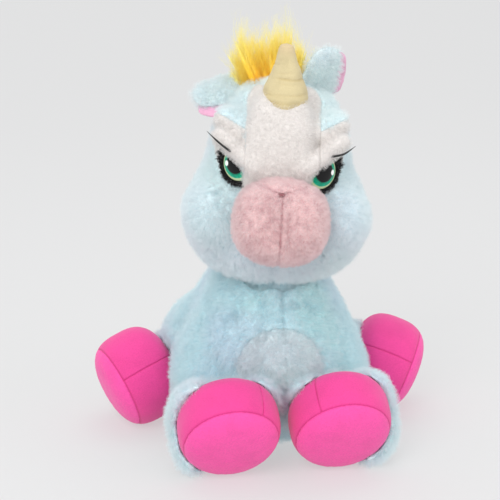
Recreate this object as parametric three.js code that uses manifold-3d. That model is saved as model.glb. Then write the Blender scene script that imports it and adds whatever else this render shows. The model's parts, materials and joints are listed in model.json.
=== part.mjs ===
// Seated plush unicorn: sewn fur and fleece panels over soft stuffing, in millimetres, +Z up.
// The torso faces -Y, the toy's own left is +X, and the floor is at Z = 0.
import * as THREE from 'three';
import { mergeVertices } from 'three/addons/utils/BufferGeometryUtils.js';
import Module from 'manifold-3d';

const wasm = await Module();
wasm.setup();

// ---------------------------------------------------------------- driving dimensions
const seamGap = 0.3; // space kept between two pieces that touch
const moveGap = 0.8; // space kept between pieces that move past each other
const legGap = 2; // and between the torso and a leg that swings in it
const headRoomEase = 2.6; // and between the torso's top and the head
const furThickness = 4; // backing cloth with its pile
const fleeceThickness = 2.5;
const furLayer = furThickness + seamGap; // from a fur surface down to what it covers
const fleeceLayer = fleeceThickness + seamGap;

// Torso outline: at each height, the half width and where the chest and the back are.
const torsoRings = [
  { z: 0, half: 44, front: 4, back: 70 },
  { z: 14, half: 60, front: -12, back: 84 },
  { z: 34, half: 67, front: -36, back: 90 },
  { z: 56, half: 68, front: -47, back: 91 },
  { z: 80, half: 59, front: -45, back: 87 },
  { z: 102, half: 49, front: -37, back: 74 },
  { z: 122, half: 40, front: -26, back: 52 },
  { z: 138, half: 22, front: -12, back: 28 },
];
const torsoMiddle = 12; // the fore-and-aft place of the torso's widest section
const haunchSquareness = 3.2; // of the torso's rear half, where 2 is an ellipse
const torsoGrid = { around: 22, rows: 10 };
const coveredGrid = { around: 14, rows: 8 }; // for the surfaces under the fur
const seatThickness = 3;
const beanBag = { half: 30, deep: 19, high: 16, y: 42 };
const chestPatch = { half: 27, top: 96, bottom: 44 };

// Legs, measured along each leg's own axis from its inner end to the sole.
const leg = {
  rootRadius: 21,
  hoofRadius: 33,
  hoofLength: 31,
  soleCrown: 5,
  sides: 12,
};
// x, y and z are the middle of the sole. A leg points sideways, and forward turns it to the front.
const frontLeg = {
  x: 36, y: -70, z: 23.6, length: 68, droop: 34, forward: 90, sleeve: 38, wider: { left: 0, right: 0 },
};
const hindLeg = {
  x: 106, y: 50, z: 27, length: 66, droop: 22, forward: 14, sleeve: 35.5, wider: { left: 6, right: 0 },
};
const legsApart = 1.2; // between the two front legs, which press flat against each other
const crease = { y: -43, z: 71, lift: [0, 20] }; // the fold that a front leg lifts about
const hindSwing = [-14, 14];

// Head, measured from its middle in its own frame before it is turned, lifted and rolled.
const headMiddle = new THREE.Vector3(0, -15, 187);
const headTurn = -10; // degrees about the neck, the way the toy looks at rest
const headLift = 8; // degrees that the nose points up
const headRoll = 3;
const head = { high: 66.5, crown: 50.5, jowl: 63.5, front: 47, back: 56 };
const bridge = { half: 24.5, deep: 31, high: 46, y: -25, z: 20 };
const blaze = { half: 25.6, bottom: -6, top: 61, corner: 9 };
const eyePatch = { inner: 25.9, outer: 57, bottom: -3, top: 50, corner: 12 };
const muzzle = { half: 31.5, deep: 30, high: 30.5, y: -58, z: -18, notch: 0, notchRise: 9 };
const mouth = { top: -20, bottom: -40, wide: 1.4, proud: 1.1 };
const eye = { radius: 11.5, crown: 5.5, x: 29, y: -41, z: 12, outward: 33 };
const eyeStem = { radius: 2.5, length: 11, washer: 8.5, washerThickness: 1.5 };
const eyeFelt = { radius: 14, thickness: 1 };
const lash = { radius: 0.6, root: [32, -47, 23.5], bend: [40, -50, 26], tip: [47, -48, 34] };
const horn = { radius: 14, high: 52, wall: 2, y: -33, z: 44, lean: 12 };
const ear = { long: 37, half: 18, thickness: 6, liner: 2, cup: 0.016, swing: [-12, 18] };
const earPlaces = {
  left: { x: 27, y: 4, z: 57, outward: 20, twist: 40 },
  right: { x: -29, y: 4, z: 55, outward: 98, twist: -62 },
};
const forelockLobes = [
  { x: -10, y: 0, high: 23, half: 12, deep: 9, sway: -24 },
  { x: 2, y: -2, high: 25, half: 12, deep: 9, sway: -4 },
  { x: 11, y: -2, high: 18, half: 8, deep: 8, sway: 10 },
];
const forelock = { y: 2, z: 58 };
const crest = { half: 10, high: 13, top: 62, bottom: -34 };

const neck = { radius: 21, y: -4, z: 127, nod: [-7, 7] }; // and the head turns on it all round
const tail = { y: 90, z: 47, droop: 24, long: 54, radius: 14, swing: [-30, 30] };
const careLabel = { x: 30, wide: 14, long: 26, thickness: 0.8, z: 12 };

// ---------------------------------------------------------------- solids
const degrees = THREE.MathUtils.degToRad;
const { lerp, smoothstep } = THREE.MathUtils;
const far = 400; // beyond every piece

function solidOf(geometry) {
  geometry.deleteAttribute('normal');
  geometry.deleteAttribute('uv');
  const merged = mergeVertices(geometry, 1e-4);
  const corners = merged.index.array;
  const kept = [];
  for (let i = 0; i < corners.length; i += 3) {
    const [a, b, c] = corners.slice(i, i + 3);
    if (a !== b && b !== c && c !== a) kept.push(a, b, c);
  }
  return new wasm.Manifold(new wasm.Mesh({
    numProp: 3,
    vertProperties: new Float32Array(merged.attributes.position.array),
    triVerts: new Uint32Array(kept),
  }));
}

function geometryOf(solid) {
  const mesh = solid.getMesh();
  const geometry = new THREE.BufferGeometry();
  const points = new Float32Array(mesh.vertProperties);
  geometry.setAttribute('position', new THREE.BufferAttribute(points, 3));
  geometry.setIndex(new THREE.BufferAttribute(new Uint32Array(mesh.triVerts), 1));
  geometry.computeVertexNormals();
  return geometry;
}

const moved = (solid, matrix) => solid.transform(matrix.elements);
const joined = (...solids) => solids.reduce((sum, solid) => sum.add(solid));
const without = (solid, ...cutters) => cutters.reduce((rest, cutter) => rest.subtract(cutter), solid);
const within = (solid, ...regions) => regions.reduce((rest, region) => rest.intersect(region), solid);

// A cut can leave loose crumbs beside a piece, and only the piece itself is kept.
const biggest = (solid) => solid.decompose().reduce((a, b) => (b.volume() > a.volume() ? b : a));

// A closed surface made from a sphere: place() moves each of its points, given on the unit sphere.
function pillow(around, down, place) {
  const geometry = new THREE.SphereGeometry(1, around, down).rotateX(Math.PI / 2);
  const points = geometry.attributes.position;
  const point = new THREE.Vector3();
  for (let i = 0; i < points.count; i += 1) {
    point.fromBufferAttribute(points, i);
    place(point);
    points.setXYZ(i, point.x, point.y, point.z);
  }
  return solidOf(geometry);
}

function ellipsoid(around, down, [x, y, z], middle) {
  const radii = new THREE.Vector3(x, y, z);
  const centre = new THREE.Vector3(...middle);
  return pillow(around, down, (point) => point.multiply(radii).add(centre));
}

// A surface turned about +Z from [radius, height] points that start and end on the axis.
function turned(outline, around) {
  const points = outline.map(([radius, height]) => new THREE.Vector2(radius, height));
  return solidOf(new THREE.LatheGeometry(points, around).rotateX(Math.PI / 2));
}

const disc = (radius, low, high, around) => (
  turned([[0, low], [radius, low], [radius, high], [0, high]], around)
);

function block([x0, x1], [y0, y1], [z0, z1]) {
  const geometry = new THREE.BoxGeometry(x1 - x0, y1 - y0, z1 - z0);
  geometry.translate((x0 + x1) / 2, (y0 + y1) / 2, (z0 + z1) / 2);
  return solidOf(geometry);
}

// An outline drawn in X and Z, made into a bar that runs along Y from far back to the front.
function bar(shape, back, front) {
  const options = { depth: back - front, bevelEnabled: false, curveSegments: 6 };
  const geometry = new THREE.ExtrudeGeometry(shape, options).rotateX(Math.PI / 2);
  return solidOf(geometry.translate(0, back, 0));
}

function roundedRectangle(x0, x1, z0, z1, corner) {
  const quarter = Math.PI / 2;
  const shape = new THREE.Shape();
  shape.absarc(x1 - corner, z0 + corner, corner, -quarter, 0);
  shape.absarc(x1 - corner, z1 - corner, corner, 0, quarter);
  shape.absarc(x0 + corner, z1 - corner, corner, quarter, 2 * quarter);
  shape.absarc(x0 + corner, z0 + corner, corner, 2 * quarter, 3 * quarter);
  return shape;
}

function aboutHinge(pivot, axis, angle) {
  const matrix = new THREE.Matrix4().makeTranslation(pivot);
  matrix.multiply(new THREE.Matrix4().makeRotationAxis(axis, degrees(angle)));
  return matrix.multiply(new THREE.Matrix4().makeTranslation(pivot.clone().negate()));
}

// Everything that a solid passes through as it swings about a hinge.
function swept(solid, pivot, axis, [least, most]) {
  const angles = [least, (least + most) / 2, most];
  return joined(...angles.map((angle) => moved(solid, aboutHinge(pivot, axis, angle))));
}

// ---------------------------------------------------------------- materials and the group
const materials = {
  blueFur: { color: 0xb9d3da, roughness: 0.95 },
  whiteFur: { color: 0xf1ece6, roughness: 0.95 },
  pinkFur: { color: 0xdfb0b1, roughness: 0.95 },
  earPink: { color: 0xe6b4c8, roughness: 0.9 },
  hoofFleece: { color: 0xf2479b, roughness: 0.9 },
  soleFleece: { color: 0xee66aa, roughness: 0.9 },
  hornCloth: { color: 0xefdfae, roughness: 0.85 },
  maneFur: { color: 0xffcf4a, roughness: 0.9 },
  eyeGloss: { color: 0x16806a, roughness: 0.08 },
  blackFelt: { color: 0x18181a, roughness: 0.95 },
  blackPlastic: { color: 0x141416, roughness: 0.4 },
  washerPlastic: { color: 0xe8e8e6, roughness: 0.5 },
  stuffing: { color: 0xf4f3ef, roughness: 1 },
  beans: { color: 0xd8d3c8, roughness: 1 },
  thread: { color: 0x7c4a58, roughness: 0.8 },
  labelCloth: { color: 0xf7f6f3, roughness: 0.7 },
};

const toy = new THREE.Group();
toy.name = 'plush_unicorn';

function addPiece(name, solid, materialName) {
  const material = new THREE.MeshStandardMaterial({ ...materials[materialName], metalness: 0 });
  const mesh = new THREE.Mesh(geometryOf(biggest(solid)), material);
  mesh.name = name;
  toy.add(mesh);
}

const sides = [{ side: 'left', sign: 1 }, { side: 'right', sign: -1 }];
const everywhere = [-far, far];
const belowFloor = block(everywhere, everywhere, [-far, 0]);
const betweenLegs = block([-legsApart / 2, legsApart / 2], everywhere, everywhere);
const halves = {
  left: block([seamGap / 2, far], everywhere, everywhere),
  right: block([-far, -seamGap / 2], everywhere, everywhere),
};
const mirrored = (solid, sign) => (sign > 0 ? solid : solid.mirror([1, 0, 0]));

// ---------------------------------------------------------------- legs
// In a leg's own frame the leg lies along +Z, from its inner end at 0 to the sole.
function legFrame(place, side, sign) {
  const forward = degrees(place.forward);
  const droop = degrees(place.droop);
  const along = new THREE.Vector3(
    sign * Math.cos(forward) * Math.cos(droop),
    -Math.sin(forward) * Math.cos(droop),
    -Math.sin(droop),
  );
  const sole = new THREE.Vector3(sign * (place.x + place.wider[side]), place.y, place.z);
  const root = sole.clone().addScaledVector(along, -place.length);
  const across = new THREE.Vector3(0, 0, 1).cross(along).normalize();
  const over = along.clone().cross(across);
  return { matrix: new THREE.Matrix4().makeBasis(across, over, along).setPosition(root), root };
}

const cuffOf = (place) => place.length - leg.hoofLength; // where the fur ends and the hoof begins

function sleeveOutline(place, grow) {
  const cuff = cuffOf(place);
  const root = leg.rootRadius + grow;
  const widest = place.sleeve + grow;
  return [
    [0, -root],
    [root * 0.72, -root * 0.72],
    [root, 0],
    [lerp(root, widest, 0.45), cuff * 0.48],
    [widest, cuff * 0.86],
    [widest - 0.8, cuff],
    [0, cuff],
  ];
}

// The room that a whole leg needs: its sleeve, carried on at full width to the sole.
function legEnvelope(place) {
  const outline = sleeveOutline(place, legGap).slice(0, -2);
  return [...outline, [place.sleeve + legGap, place.length], [0, place.length]];
}

function hoofOutline(place, grow) {
  const cuff = cuffOf(place);
  const radius = leg.hoofRadius + grow;
  return [
    [0, cuff + seamGap],
    [radius - 1.5, cuff + seamGap],
    [radius, cuff + 10],
    [radius - 0.5, place.length - 7],
    [radius - 4, place.length - leg.soleCrown + grow / 2],
    [radius * 0.5, place.length - 0.6 + grow],
    [0, place.length + grow],
  ];
}

function legStuffingOutline(place, grow) {
  const cuff = cuffOf(place);
  const root = leg.rootRadius - furLayer + grow;
  const inHoof = leg.hoofRadius - fleeceLayer + grow;
  const end = place.length - fleeceLayer + grow;
  return [
    [0, -root],
    [root * 0.72, -root * 0.72],
    [root, 0],
    [lerp(root, inHoof, 0.45), cuff * 0.48],
    [inHoof - 1, cuff * 0.86],
    [inHoof - 1, cuff + 4],
    [inHoof, cuff + 10],
    [inHoof - 0.5, end - 7],
    [inHoof - 4, end - leg.soleCrown - 1],
    [inHoof * 0.5, end - 1.2],
    [0, end - 0.4],
  ];
}

const legClearances = []; // what the legs sweep through, which the torso leaves free
for (const [end, place] of [['front', frontLeg], ['hind', hindLeg]]) {
  const hoof = turned(hoofOutline(place, 0), leg.sides);
  const hoofHollow = turned(hoofOutline(place, -fleeceThickness), leg.sides);
  const stuffing = turned(legStuffingOutline(place, 0), leg.sides);
  const stuffingRoom = turned(legStuffingOutline(place, seamGap), leg.sides);
  const soleStart = place.length - 5.5;
  const bandRegion = block(everywhere, everywhere, [-far, soleStart]);
  const soleRegion = block(everywhere, everywhere, [soleStart + seamGap, far]);
  const over = block(everywhere, [seamGap / 2, far], everywhere);
  const under = block(everywhere, [-far, -seamGap / 2], everywhere);
  const band = within(without(hoof, hoofHollow, stuffingRoom), bandRegion);
  const sleeve = without(turned(sleeveOutline(place, 0), leg.sides), stuffingRoom);
  const sole = within(without(hoof, stuffingRoom), soleRegion);
  for (const { side, sign } of sides) {
    const { matrix, root } = legFrame(place, side, sign);
    const put = (solid) => without(moved(solid, matrix), belowFloor, betweenLegs);
    addPiece(`leg_${end}_${side}_sleeve`, put(sleeve), 'blueFur');
    addPiece(`leg_${end}_${side}_stuffing`, put(stuffing), 'stuffing');
    addPiece(`hoof_${end}_${side}_upper`, put(within(band, over)), 'hoofFleece');
    addPiece(`hoof_${end}_${side}_lower`, put(within(band, under)), 'hoofFleece');
    addPiece(`hoof_${end}_${side}_sole`, put(sole), 'soleFleece');
    const envelope = moved(turned(legEnvelope(place), leg.sides), matrix);
    const isFront = end === 'front';
    const pivot = isFront ? new THREE.Vector3(sign * place.x, crease.y, crease.z) : root;
    const axis = isFront ? new THREE.Vector3(-1, 0, 0) : new THREE.Vector3(0, 0, 1);
    legClearances.push(swept(envelope, pivot, axis, isFront ? crease.lift : hindSwing));
  }
}

// ---------------------------------------------------------------- head shapes
const headMatrix = new THREE.Matrix4().makeTranslation(headMiddle);
headMatrix.multiply(new THREE.Matrix4().makeRotationZ(degrees(headTurn)));
headMatrix.multiply(new THREE.Matrix4().makeRotationX(degrees(-headLift)));
headMatrix.multiply(new THREE.Matrix4().makeRotationY(degrees(headRoll)));

// The head is narrow at the crown and wide and square at the jowls.
function headSolid(grow, grid = { around: 20, rows: 14 }) {
  return pillow(grid.around, grid.rows, (point) => {
    const crownShare = smoothstep(point.z, -0.45, 0.25);
    const squareness = lerp(3, 2.4, crownShare);
    const level = Math.sign(point.z) * Math.abs(point.z) ** (2 / squareness);
    const reach = Math.hypot(point.x, point.y);
    const spread = reach > 0 ? reach ** (2 / squareness - 1) : 0;
    const half = lerp(head.jowl, head.crown, crownShare) + grow;
    const deep = (point.y < 0 ? head.front : head.back) + grow;
    point.set(point.x * spread * half, point.y * spread * deep, level * (head.high + grow));
  });
}

function faceSolid(grow, grid) {
  const radii = [bridge.half + grow, bridge.deep + grow, bridge.high + grow];
  return joined(headSolid(grow, grid), ellipsoid(12, 10, radii, [0, bridge.y, bridge.z]));
}

function muzzleSolid(grow, around = 20) {
  const radii = [muzzle.half + grow, muzzle.deep + grow, muzzle.high + grow];
  return ellipsoid(around, around * 0.6, radii, [0, muzzle.y, muzzle.z]);
}

const neckPivot = new THREE.Vector3(0, neck.y, neck.z);
const nodAxis = new THREE.Vector3(1, 0, 0).applyAxisAngle(new THREE.Vector3(0, 0, 1), degrees(headTurn));
const neckBall = (grow) => {
  const radius = neck.radius + grow;
  return ellipsoid(12, 8, [radius, radius, radius], neckPivot.toArray());
};
const intoHead = headMatrix.clone().invert();
const neckRoomInHead = moved(neckBall(moveGap), intoHead);
const faceCover = faceSolid(seamGap);

// ---------------------------------------------------------------- torso
// The rows of the torso follow smooth curves through the outline's rings.
function torsoSolid(grow, grid = torsoGrid) {
  const curveOf = (key) => new THREE.SplineCurve(
    torsoRings.map((ring) => new THREE.Vector2(ring[key], ring.z)),
  );
  const curves = { half: curveOf('half'), front: curveOf('front'), back: curveOf('back') };
  const rows = [];
  for (let i = 0; i <= grid.rows; i += 1) {
    const share = i / grid.rows;
    rows.push({
      half: curves.half.getPoint(share).x + grow,
      front: curves.front.getPoint(share).x - grow,
      back: curves.back.getPoint(share).x + grow,
      z: curves.half.getPoint(share).y + grow * share,
    });
  }
  const outline = rows.map((row, i) => new THREE.Vector2(1, i));
  outline.unshift(new THREE.Vector2(0, 0));
  outline.push(new THREE.Vector2(0, grid.rows));
  const geometry = new THREE.LatheGeometry(outline, grid.around).rotateX(Math.PI / 2);
  const points = geometry.attributes.position;
  for (let i = 0; i < points.count; i += 1) {
    const row = rows[Math.round(points.getZ(i))];
    let x = points.getX(i);
    let y = points.getY(i);
    if (y > 0) {
      x = Math.sign(x) * Math.abs(x) ** (2 / haunchSquareness);
      y **= 2 / haunchSquareness;
    }
    const reach = y < 0 ? torsoMiddle - row.front : row.back - torsoMiddle;
    points.setXYZ(i, x * row.half, torsoMiddle + y * reach, row.z);
  }
  return solidOf(geometry);
}

// The room the head needs as it nods and turns: a round shape, as square below as the jowls.
const roundHead = pillow(16, 10, (point) => {
  const squareness = 3.2;
  const level = Math.sign(point.z) * Math.abs(point.z) ** (2 / squareness);
  const reach = Math.hypot(point.x, point.y);
  const spread = reach > 0 ? reach ** (2 / squareness - 1) : 0;
  const radius = (head.jowl + headRoomEase) * spread;
  point.set(point.x * radius, point.y * radius, level * (head.high + headRoomEase));
  point.add(headMiddle);
});
const headRoom = swept(roundHead, neckPivot, nodAxis, neck.nod);
const torsoFree = [...legClearances, neckBall(moveGap), headRoom];
const aboveSeat = block(everywhere, everywhere, [seatThickness + seamGap, far]);
const torsoUnderFur = torsoSolid(-furThickness, coveredGrid);
const torsoShell = within(without(torsoSolid(0), torsoUnderFur, ...torsoFree), aboveSeat);

function patchRegion(grow) {
  const { half, top, bottom } = chestPatch;
  const middle = (top + bottom) / 2;
  const shape = new THREE.Shape();
  shape.absellipse(0, middle, half + grow, (top - bottom) / 2 + grow, 0, 2 * Math.PI);
  return bar(shape, 0, -far);
}

const patchPanel = within(torsoShell, patchRegion(0));
const bodyPanel = without(torsoShell, patchRegion(seamGap));
for (const { side } of sides) {
  addPiece(`body_fur_${side}`, within(bodyPanel, halves[side]), 'blueFur');
  addPiece(`chest_patch_${side}`, within(patchPanel, halves[side]), 'blueFur');
}
const seatRegion = block(everywhere, everywhere, [0, seatThickness]);
addPiece('seat_panel', without(within(torsoSolid(0), seatRegion), ...legClearances), 'blueFur');

const stuffingLevel = seatThickness + 2 * seamGap;
const aboveStuffingLevel = block(everywhere, everywhere, [stuffingLevel, far]);
const beanShape = (grow) => {
  const radii = [beanBag.half + grow, beanBag.deep + grow, beanBag.high + grow];
  return ellipsoid(14, 8, radii, [0, beanBag.y, stuffingLevel]);
};
addPiece('bean_bag', within(beanShape(0), aboveStuffingLevel), 'beans');
const torsoCore = without(torsoSolid(-furLayer, coveredGrid), ...torsoFree, beanShape(seamGap));
addPiece('torso_stuffing', within(torsoCore, aboveStuffingLevel), 'stuffing');
addPiece('neck_stuffing', neckBall(0), 'stuffing');

// ---------------------------------------------------------------- head pieces
const addToHead = (name, solid, materialName) => addPiece(name, moved(solid, headMatrix), materialName);

function eyeFrame(sign) {
  const matrix = new THREE.Matrix4().makeTranslation(sign * eye.x, eye.y, eye.z);
  matrix.multiply(new THREE.Matrix4().makeRotationZ(degrees(sign * eye.outward)));
  return matrix.multiply(new THREE.Matrix4().makeRotationX(Math.PI / 2));
}

const eyeRooms = []; // the seats, stem holes and washer pockets of both eyes
for (const { side, sign } of sides) {
  const frame = eyeFrame(sign);
  const place = (solid) => moved(solid, frame);
  const around = 14;
  const dome = [[0, 0], [eye.radius, 0], [eye.radius, 0.8]];
  for (let i = 1; i < 4; i += 1) {
    const angle = (i / 4) * (Math.PI / 2);
    dome.push([eye.radius * Math.cos(angle), 0.8 + (eye.crown - 0.8) * Math.sin(angle)]);
  }
  dome.push([0, eye.crown]);
  const stem = disc(eyeStem.radius, -eyeStem.length, 0.5, 8);
  addToHead(`eye_${side}`, place(joined(turned(dome, around), stem)), 'eyeGloss');
  const stemRoom = disc(eyeStem.radius + seamGap, -eyeStem.length - seamGap, 1, 8);
  const feltBack = -seamGap - eyeFelt.thickness;
  const felt = disc(eyeFelt.radius, feltBack, -seamGap, around).subtract(stemRoom);
  addToHead(`eye_felt_${side}`, place(felt), 'blackFelt');
  const washerBack = -eyeStem.length + 2;
  const washerFront = washerBack + eyeStem.washerThickness;
  const washer = disc(eyeStem.washer, washerBack, washerFront, around).subtract(stemRoom);
  addToHead(`eye_washer_${side}`, place(washer), 'washerPlastic');
  const seat = disc(eyeFelt.radius + seamGap, feltBack - seamGap, 30, around);
  const washerRoom = disc(eyeStem.washer + seamGap, washerBack - seamGap, washerFront + seamGap, around);
  eyeRooms.push({ seat: place(seat), stem: place(stemRoom), washer: place(washerRoom) });
}
const eyeSeats = eyeRooms.flatMap(({ seat, stem, washer }) => [seat, stem, washer]);

const faceUnderFur = faceSolid(-furThickness, coveredGrid);
const headShell = without(faceSolid(0), faceUnderFur, neckRoomInHead, ...eyeSeats);
const { half: blazeHalf, bottom: blazeBottom, top: blazeTop, corner: blazeCorner } = blaze;
const blazeRegion = (grow) => bar(
  roundedRectangle(-blazeHalf - grow, blazeHalf + grow, blazeBottom - grow, blazeTop + grow, blazeCorner),
  0,
  -far,
);
const eyePatchRegion = (sign, grow) => {
  const { inner, outer, bottom, top, corner } = eyePatch;
  const shape = roundedRectangle(inner - grow, outer + grow, bottom - grow, top + grow, corner);
  return mirrored(bar(shape, 0, -far), sign);
};
addToHead('blaze', within(headShell, blazeRegion(0)), 'whiteFur');
for (const { side, sign } of sides) {
  const patch = without(within(headShell, eyePatchRegion(sign, 0)), blazeRegion(seamGap));
  addToHead(`eye_patch_${side}`, patch, 'whiteFur');
  const fur = without(headShell, blazeRegion(seamGap), eyePatchRegion(sign, seamGap));
  addToHead(`head_fur_${side}`, within(fur, halves[side]), 'blueFur');
}
const washerPockets = eyeRooms.map(({ seat, washer }) => [seat, washer]).flat();
const faceFill = faceSolid(-furLayer, coveredGrid);
const headCore = without(faceFill, neckRoomInHead, ...eyeSeats, ...washerPockets);
addToHead('head_stuffing', headCore, 'stuffing');

// The muzzle: a stuffed ball with a top panel above a V seam and two side panels.
const muzzleShell = without(muzzleSolid(0), muzzleSolid(-furThickness, 14), faceCover, ...eyeSeats);
const notchRegion = (grow) => {
  const shape = new THREE.Shape();
  shape.moveTo(0, muzzle.notch - grow);
  shape.lineTo(far, muzzle.notch - grow + far * (muzzle.notchRise / muzzle.half));
  shape.lineTo(-far, muzzle.notch - grow + far * (muzzle.notchRise / muzzle.half));
  return bar(shape, 0, -far);
};
addToHead('muzzle_top', within(muzzleShell, notchRegion(0)), 'pinkFur');
for (const { side } of sides) {
  const panel = within(without(muzzleShell, notchRegion(seamGap)), halves[side]);
  addToHead(`muzzle_${side}`, panel, 'pinkFur');
}
addToHead('muzzle_stuffing', without(muzzleSolid(-furLayer, 14), faceCover, ...eyeSeats), 'stuffing');
const thread = without(muzzleSolid(mouth.proud), muzzleSolid(seamGap));
const nose = ellipsoid(12, 8, [4.5, 6, 2.2], [0, -80, muzzle.notch]);
const mouthRegion = block([-mouth.wide / 2, mouth.wide / 2], [-far, muzzle.y], [mouth.bottom, mouth.top]);
addToHead('nose_stitch', within(thread, nose), 'thread');
addToHead('mouth_stitch', within(thread, mouthRegion), 'thread');

for (const { side, sign } of sides) {
  const points = [lash.root, lash.bend, lash.tip].map((point) => new THREE.Vector3(...point));
  const path = new THREE.CatmullRomCurve3(points);
  const section = new THREE.Shape().absarc(0, 0, lash.radius, 0, 2 * Math.PI);
  const options = { steps: 8, extrudePath: path, curveSegments: 3, bevelEnabled: false };
  const rod = solidOf(new THREE.ExtrudeGeometry(section, options));
  addToHead(`eyelash_${side}`, mirrored(rod, sign), 'blackPlastic');
}

// The horn: a cloth cone, flared where it meets the forehead, with its own stuffing.
const hornMatrix = new THREE.Matrix4().makeTranslation(0, horn.y, horn.z);
hornMatrix.multiply(new THREE.Matrix4().makeRotationX(degrees(horn.lean)));
const hornOutline = (grow) => [
  [0, -10],
  [horn.radius + grow, -10],
  [horn.radius + grow, 2],
  [horn.radius * 0.78 + grow, 12],
  [horn.radius * 0.62 + grow, 26],
  [horn.radius * 0.5 + grow, 38],
  [horn.radius * 0.36 + grow, horn.high - 3 + grow],
  [0, horn.high + grow],
];
const hornSolid = (grow) => moved(turned(hornOutline(grow), 14), hornMatrix);
addToHead('horn_cover', without(hornSolid(0), hornSolid(-horn.wall), faceCover), 'hornCloth');
addToHead('horn_stuffing', without(hornSolid(-horn.wall - seamGap), faceCover), 'stuffing');

// The ears: cupped leaves with a pink lining, each hinged where it is sewn on.
function earMatrixOf({ x, y, z, outward, twist }, sign) {
  const matrix = new THREE.Matrix4().makeTranslation(x, y, z);
  matrix.multiply(new THREE.Matrix4().makeRotationY(degrees(sign * outward)));
  return matrix.multiply(new THREE.Matrix4().makeRotationZ(degrees(sign * twist)));
}

// Across the ear is X, along it is Z, and the cup opens to +Y.
const earLeaf = (thickness, half, long, lift) => pillow(12, 8, (point) => {
  const along = (point.z + 1) / 2;
  const x = point.x * half * (1 - 0.35 * along);
  point.set(x, (point.y * thickness) / 2 + ear.cup * x * x + lift, along * long);
});
const earRooms = []; // what the ears sweep through
const liningLift = (ear.thickness + ear.liner) / 2 + seamGap;
const earLining = earLeaf(ear.liner, ear.half * 0.72, ear.long * 0.8, liningLift);
for (const { side, sign } of sides) {
  const matrix = earMatrixOf(earPlaces[side], sign);
  const back = moved(earLeaf(ear.thickness, ear.half, ear.long, 0), matrix);
  const lining = moved(moved(earLining, new THREE.Matrix4().makeTranslation(0, 0, 5)), matrix);
  const pivot = new THREE.Vector3().setFromMatrixPosition(matrix);
  const axis = new THREE.Vector3().setFromMatrixColumn(matrix, 0);
  const away = ear.swing.map((angle) => -angle);
  const headAround = swept(faceSolid(moveGap), pivot, axis, away);
  const roomyLeaf = moved(earLeaf(ear.thickness + 4, ear.half + 2, ear.long + 2, 0), matrix);
  earRooms.push(swept(roomyLeaf, pivot, axis, ear.swing));
  addToHead(`ear_${side}_back`, without(back, headAround), 'blueFur');
  addToHead(`ear_${side}_lining`, without(lining, headAround), 'earPink');
}

// The mane: a tuft of long pile behind the horn, and a crest down the back of the head.
const lobes = forelockLobes.map((lobe) => {
  const matrix = new THREE.Matrix4().makeTranslation(lobe.x, forelock.y + lobe.y, forelock.z);
  matrix.multiply(new THREE.Matrix4().makeRotationY(degrees(lobe.sway)));
  const tuft = pillow(12, 8, (point) => {
    const along = (point.z + 1) / 2;
    const width = 1 - 0.45 * along;
    point.set(point.x * lobe.half * width, point.y * lobe.deep * width, along * 2 * lobe.high - 6);
  });
  return moved(tuft, matrix);
});
addToHead('forelock', without(joined(...lobes), faceCover, hornSolid(seamGap), ...earRooms), 'maneFur');
const crestRegion = block([-crest.half, crest.half], [crest.half, far], [crest.bottom, crest.top]);
const crestBand = without(headSolid(crest.high), faceCover, ...lobes);
addToHead('mane_crest', within(crestBand, crestRegion), 'maneFur');

// ---------------------------------------------------------------- tail and care label
const tailMatrix = new THREE.Matrix4().makeTranslation(0, tail.y, tail.z);
tailMatrix.multiply(new THREE.Matrix4().makeRotationX(degrees(-90 - tail.droop)));
const tailTuft = turned([
  [0, 0],
  [5, 1],
  [tail.radius * 0.75, tail.long * 0.28],
  [tail.radius, tail.long * 0.55],
  [tail.radius * 0.7, tail.long * 0.82],
  [0, tail.long],
], 14);
const tailPivot = new THREE.Vector3(0, tail.y, tail.z);
const torsoBehind = swept(torsoSolid(moveGap), tailPivot, new THREE.Vector3(0, 0, 1), tail.swing);
addPiece('tail', without(moved(tailTuft, tailMatrix), torsoBehind), 'maneFur');
const labelMatrix = new THREE.Matrix4().makeTranslation(careLabel.x, 0, careLabel.z);
const labelStrip = moved(block(
  [-careLabel.wide / 2, careLabel.wide / 2],
  [torsoMiddle, far / 2],
  [0, careLabel.thickness],
), labelMatrix);
const labelReach = without(labelStrip, torsoSolid(seamGap));
const labelLimit = within(labelReach, torsoSolid(careLabel.long / 2));
addPiece('care_label', labelLimit, 'labelCloth');

// The origin is on the floor, under the middle of the whole toy.
const middle = new THREE.Box3().setFromObject(toy).getCenter(new THREE.Vector3());
toy.position.set(-middle.x, -middle.y, 0);

export default toy;
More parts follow.
